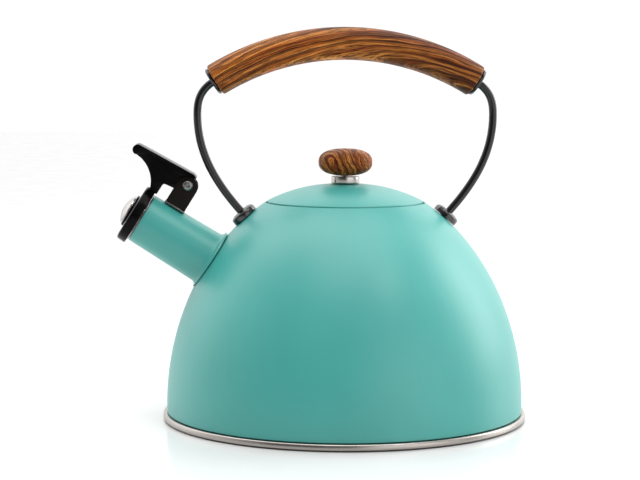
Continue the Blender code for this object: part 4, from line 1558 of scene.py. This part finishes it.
@dataclass(frozen=True)
class Softbox:
    """A rectangular studio light."""

    name: str
    place: Corner
    size: Point2
    power: float
    target: Corner = (0.0, 0.0, 0.09)

    def make(self) -> None:
        """Hang the light."""
        data = bpy.data.lights.new(self.name, "AREA")
        data.shape = "RECTANGLE"
        data.size, data.size_y = self.size
        data.energy = self.power
        spot = Vector(self.place)
        placed(self.name, data, aimed(spot, Vector(self.target) - spot, "-Z"))


@dataclass
class Studio:
    """Pale floor, white surroundings, soft lights and the camera."""

    distance: float = 1.1111
    eye_height: float = 0.2107
    yaw: float = math.radians(2.5)
    pitch: float = math.radians(5.56)
    roll: float = math.radians(0.25)
    lens: float = 108.6
    sensor: float = 36.0
    shift: Point2 = (-0.0392, 0.0011)
    floor_half: float = 4.0
    lights: tuple[Softbox, ...] = (
        Softbox("right_softbox", (1.20, 0.35, 0.55), (0.7, 1.0), 6.0),
        Softbox("top_softbox", (0.10, -0.35, 1.45), (1.3, 1.1), 10.5),
        Softbox("key_lamp", (0.62, -0.75, 1.15), (0.20, 0.20), 1.3),
    )

    def camera(self) -> None:
        """Stand the camera in front of the kettle, a little above it."""
        data = bpy.data.cameras.new("camera")
        data.lens = self.lens
        data.sensor_width = self.sensor
        data.shift_x, data.shift_y = self.shift
        spot = (-self.distance * math.sin(self.yaw), -self.distance * math.cos(self.yaw), self.eye_height)
        turn = Matrix.Rotation(-self.yaw, 4, "Z") @ Matrix.Rotation(math.radians(90) - self.pitch, 4, "X")
        place = Matrix.Translation(spot) @ turn @ Matrix.Rotation(self.roll, 4, "Z")
        bpy.context.scene.camera = placed("camera", data, place)

    def floor(self) -> None:
        """Lay the pale floor."""
        half = self.floor_half
        shape = bmesh.new()
        corners = ((-half, -half), (half, -half), (half, half), (-half, half))
        shape.faces.new([shape.verts.new((x, y, 0.0)) for x, y in corners])
        data = mesh_of("floor", shape)
        data.materials.append(PaleFloor().make())
        placed("floor", data)

    def surroundings(self) -> None:
        """White surroundings that are bright above and behind, and dim on the camera's side."""
        world = bpy.data.worlds.new("studio")
        world.use_nodes = True
        bpy.context.scene.world = world
        tree = ShaderTree(world.node_tree)
        x, y, z = tree.split(tree.signal(tree.node("ShaderNodeTexCoord"), "Generated"))
        above = tree.smooth(z, -0.05, 0.80)
        behind = tree.smooth(y, -0.10, 0.50)
        right = tree.smooth(0.86 * x + 0.45 * y, 0.30, 0.95)
        left = tree.smooth(0.25 * y - 0.94 * x, 0.50, 0.98)
        front = tree.smooth(0.62 * x - 0.78 * y, 0.78, 0.99)
        shoulder = tree.smooth(0.20 * y - 0.42 * x + 0.88 * z, 0.90, 0.99)
        strength = 0.05 + 0.40 * above + 0.80 * behind + 0.72 * right + 0.75 * left
        strength = strength + 0.65 * (above * behind) + 1.65 * front + 2.1 * shoulder
        seen = tree.signal(tree.node("ShaderNodeLightPath"), "Is Camera Ray")
        strength = strength * (1.0 - seen) + 1.05 * seen
        sky = tree.node("ShaderNodeBackground", None, {"Color": (1.0, 1.0, 1.0), "Strength": strength})
        tree.node("ShaderNodeOutputWorld", None, {"Surface": tree.signal(sky)})

    def make(self) -> None:
        """Set up the whole studio."""
        bpy.context.scene.view_settings.view_transform = "Standard"
        self.camera()
        self.floor()
        self.surroundings()
        for light in self.lights:
            light.make()


# --- the kettle


def spout_place(pin: Point2) -> Matrix:
    """Placement of the spout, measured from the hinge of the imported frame.

    Args:
        pin: Place of the hinge pin in the spout's frame, as (outward, above).

    Returns:
        Placement with local Z out of the spout and local X up, square to it.
    """
    joints = frame["record"]["behaviour"]["joints"]
    hinge = next(Vector(joint["pos_m"]) for joint in joints if joint["name"] == "whistle_hinge")
    rise = math.radians(31.8)
    outward = Vector((-math.cos(rise), 0.0, math.sin(rise)))
    above = WORLD_Y.cross(outward)
    turn = Matrix((above, WORLD_Y, outward)).transposed().to_4x4()
    return Matrix.Translation(hinge - outward * pin[0] - above * pin[1]) @ turn


def record_bench() -> Bench:
    """Bench that knows the body and the slot of each node from the record."""
    record = frame["record"]
    bodies = {node: body for body, nodes in record["behaviour"]["bodies"].items() for node in nodes}
    return Bench(bodies, {part["node"]: part["material_slot"] for part in record["subparts"]})


def main() -> None:
    """Build the kettle and its studio."""
    logging.basicConfig(level=logging.INFO, format="%(message)s")
    low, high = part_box("body_shell")
    dome = Dome(radius=(high.x - low.x) / 2)
    bench = record_bench()
    handle = Handle(bench, dome)
    spout = Spout(bench, dome, spout_place(Spout.pin))
    studs = [handle.stud_cutter(aimed(*handle.foot(side))) for side, _ in SIDES]
    Vessel(bench, dome).make([spout.hole(), *studs])
    spout.make()
    WhistleFlap(bench, spout).make()
    Lid(bench, dome).make()
    handle.make()
    spreader = frame["nodes"]["heat_spreader"]
    spreader.data.materials.clear()
    spreader.data.materials.append(RolledAluminium().make())
    Studio().make()
    LOG.info("%d pieces", bench.count)


if __name__ == "__main__":
    main()
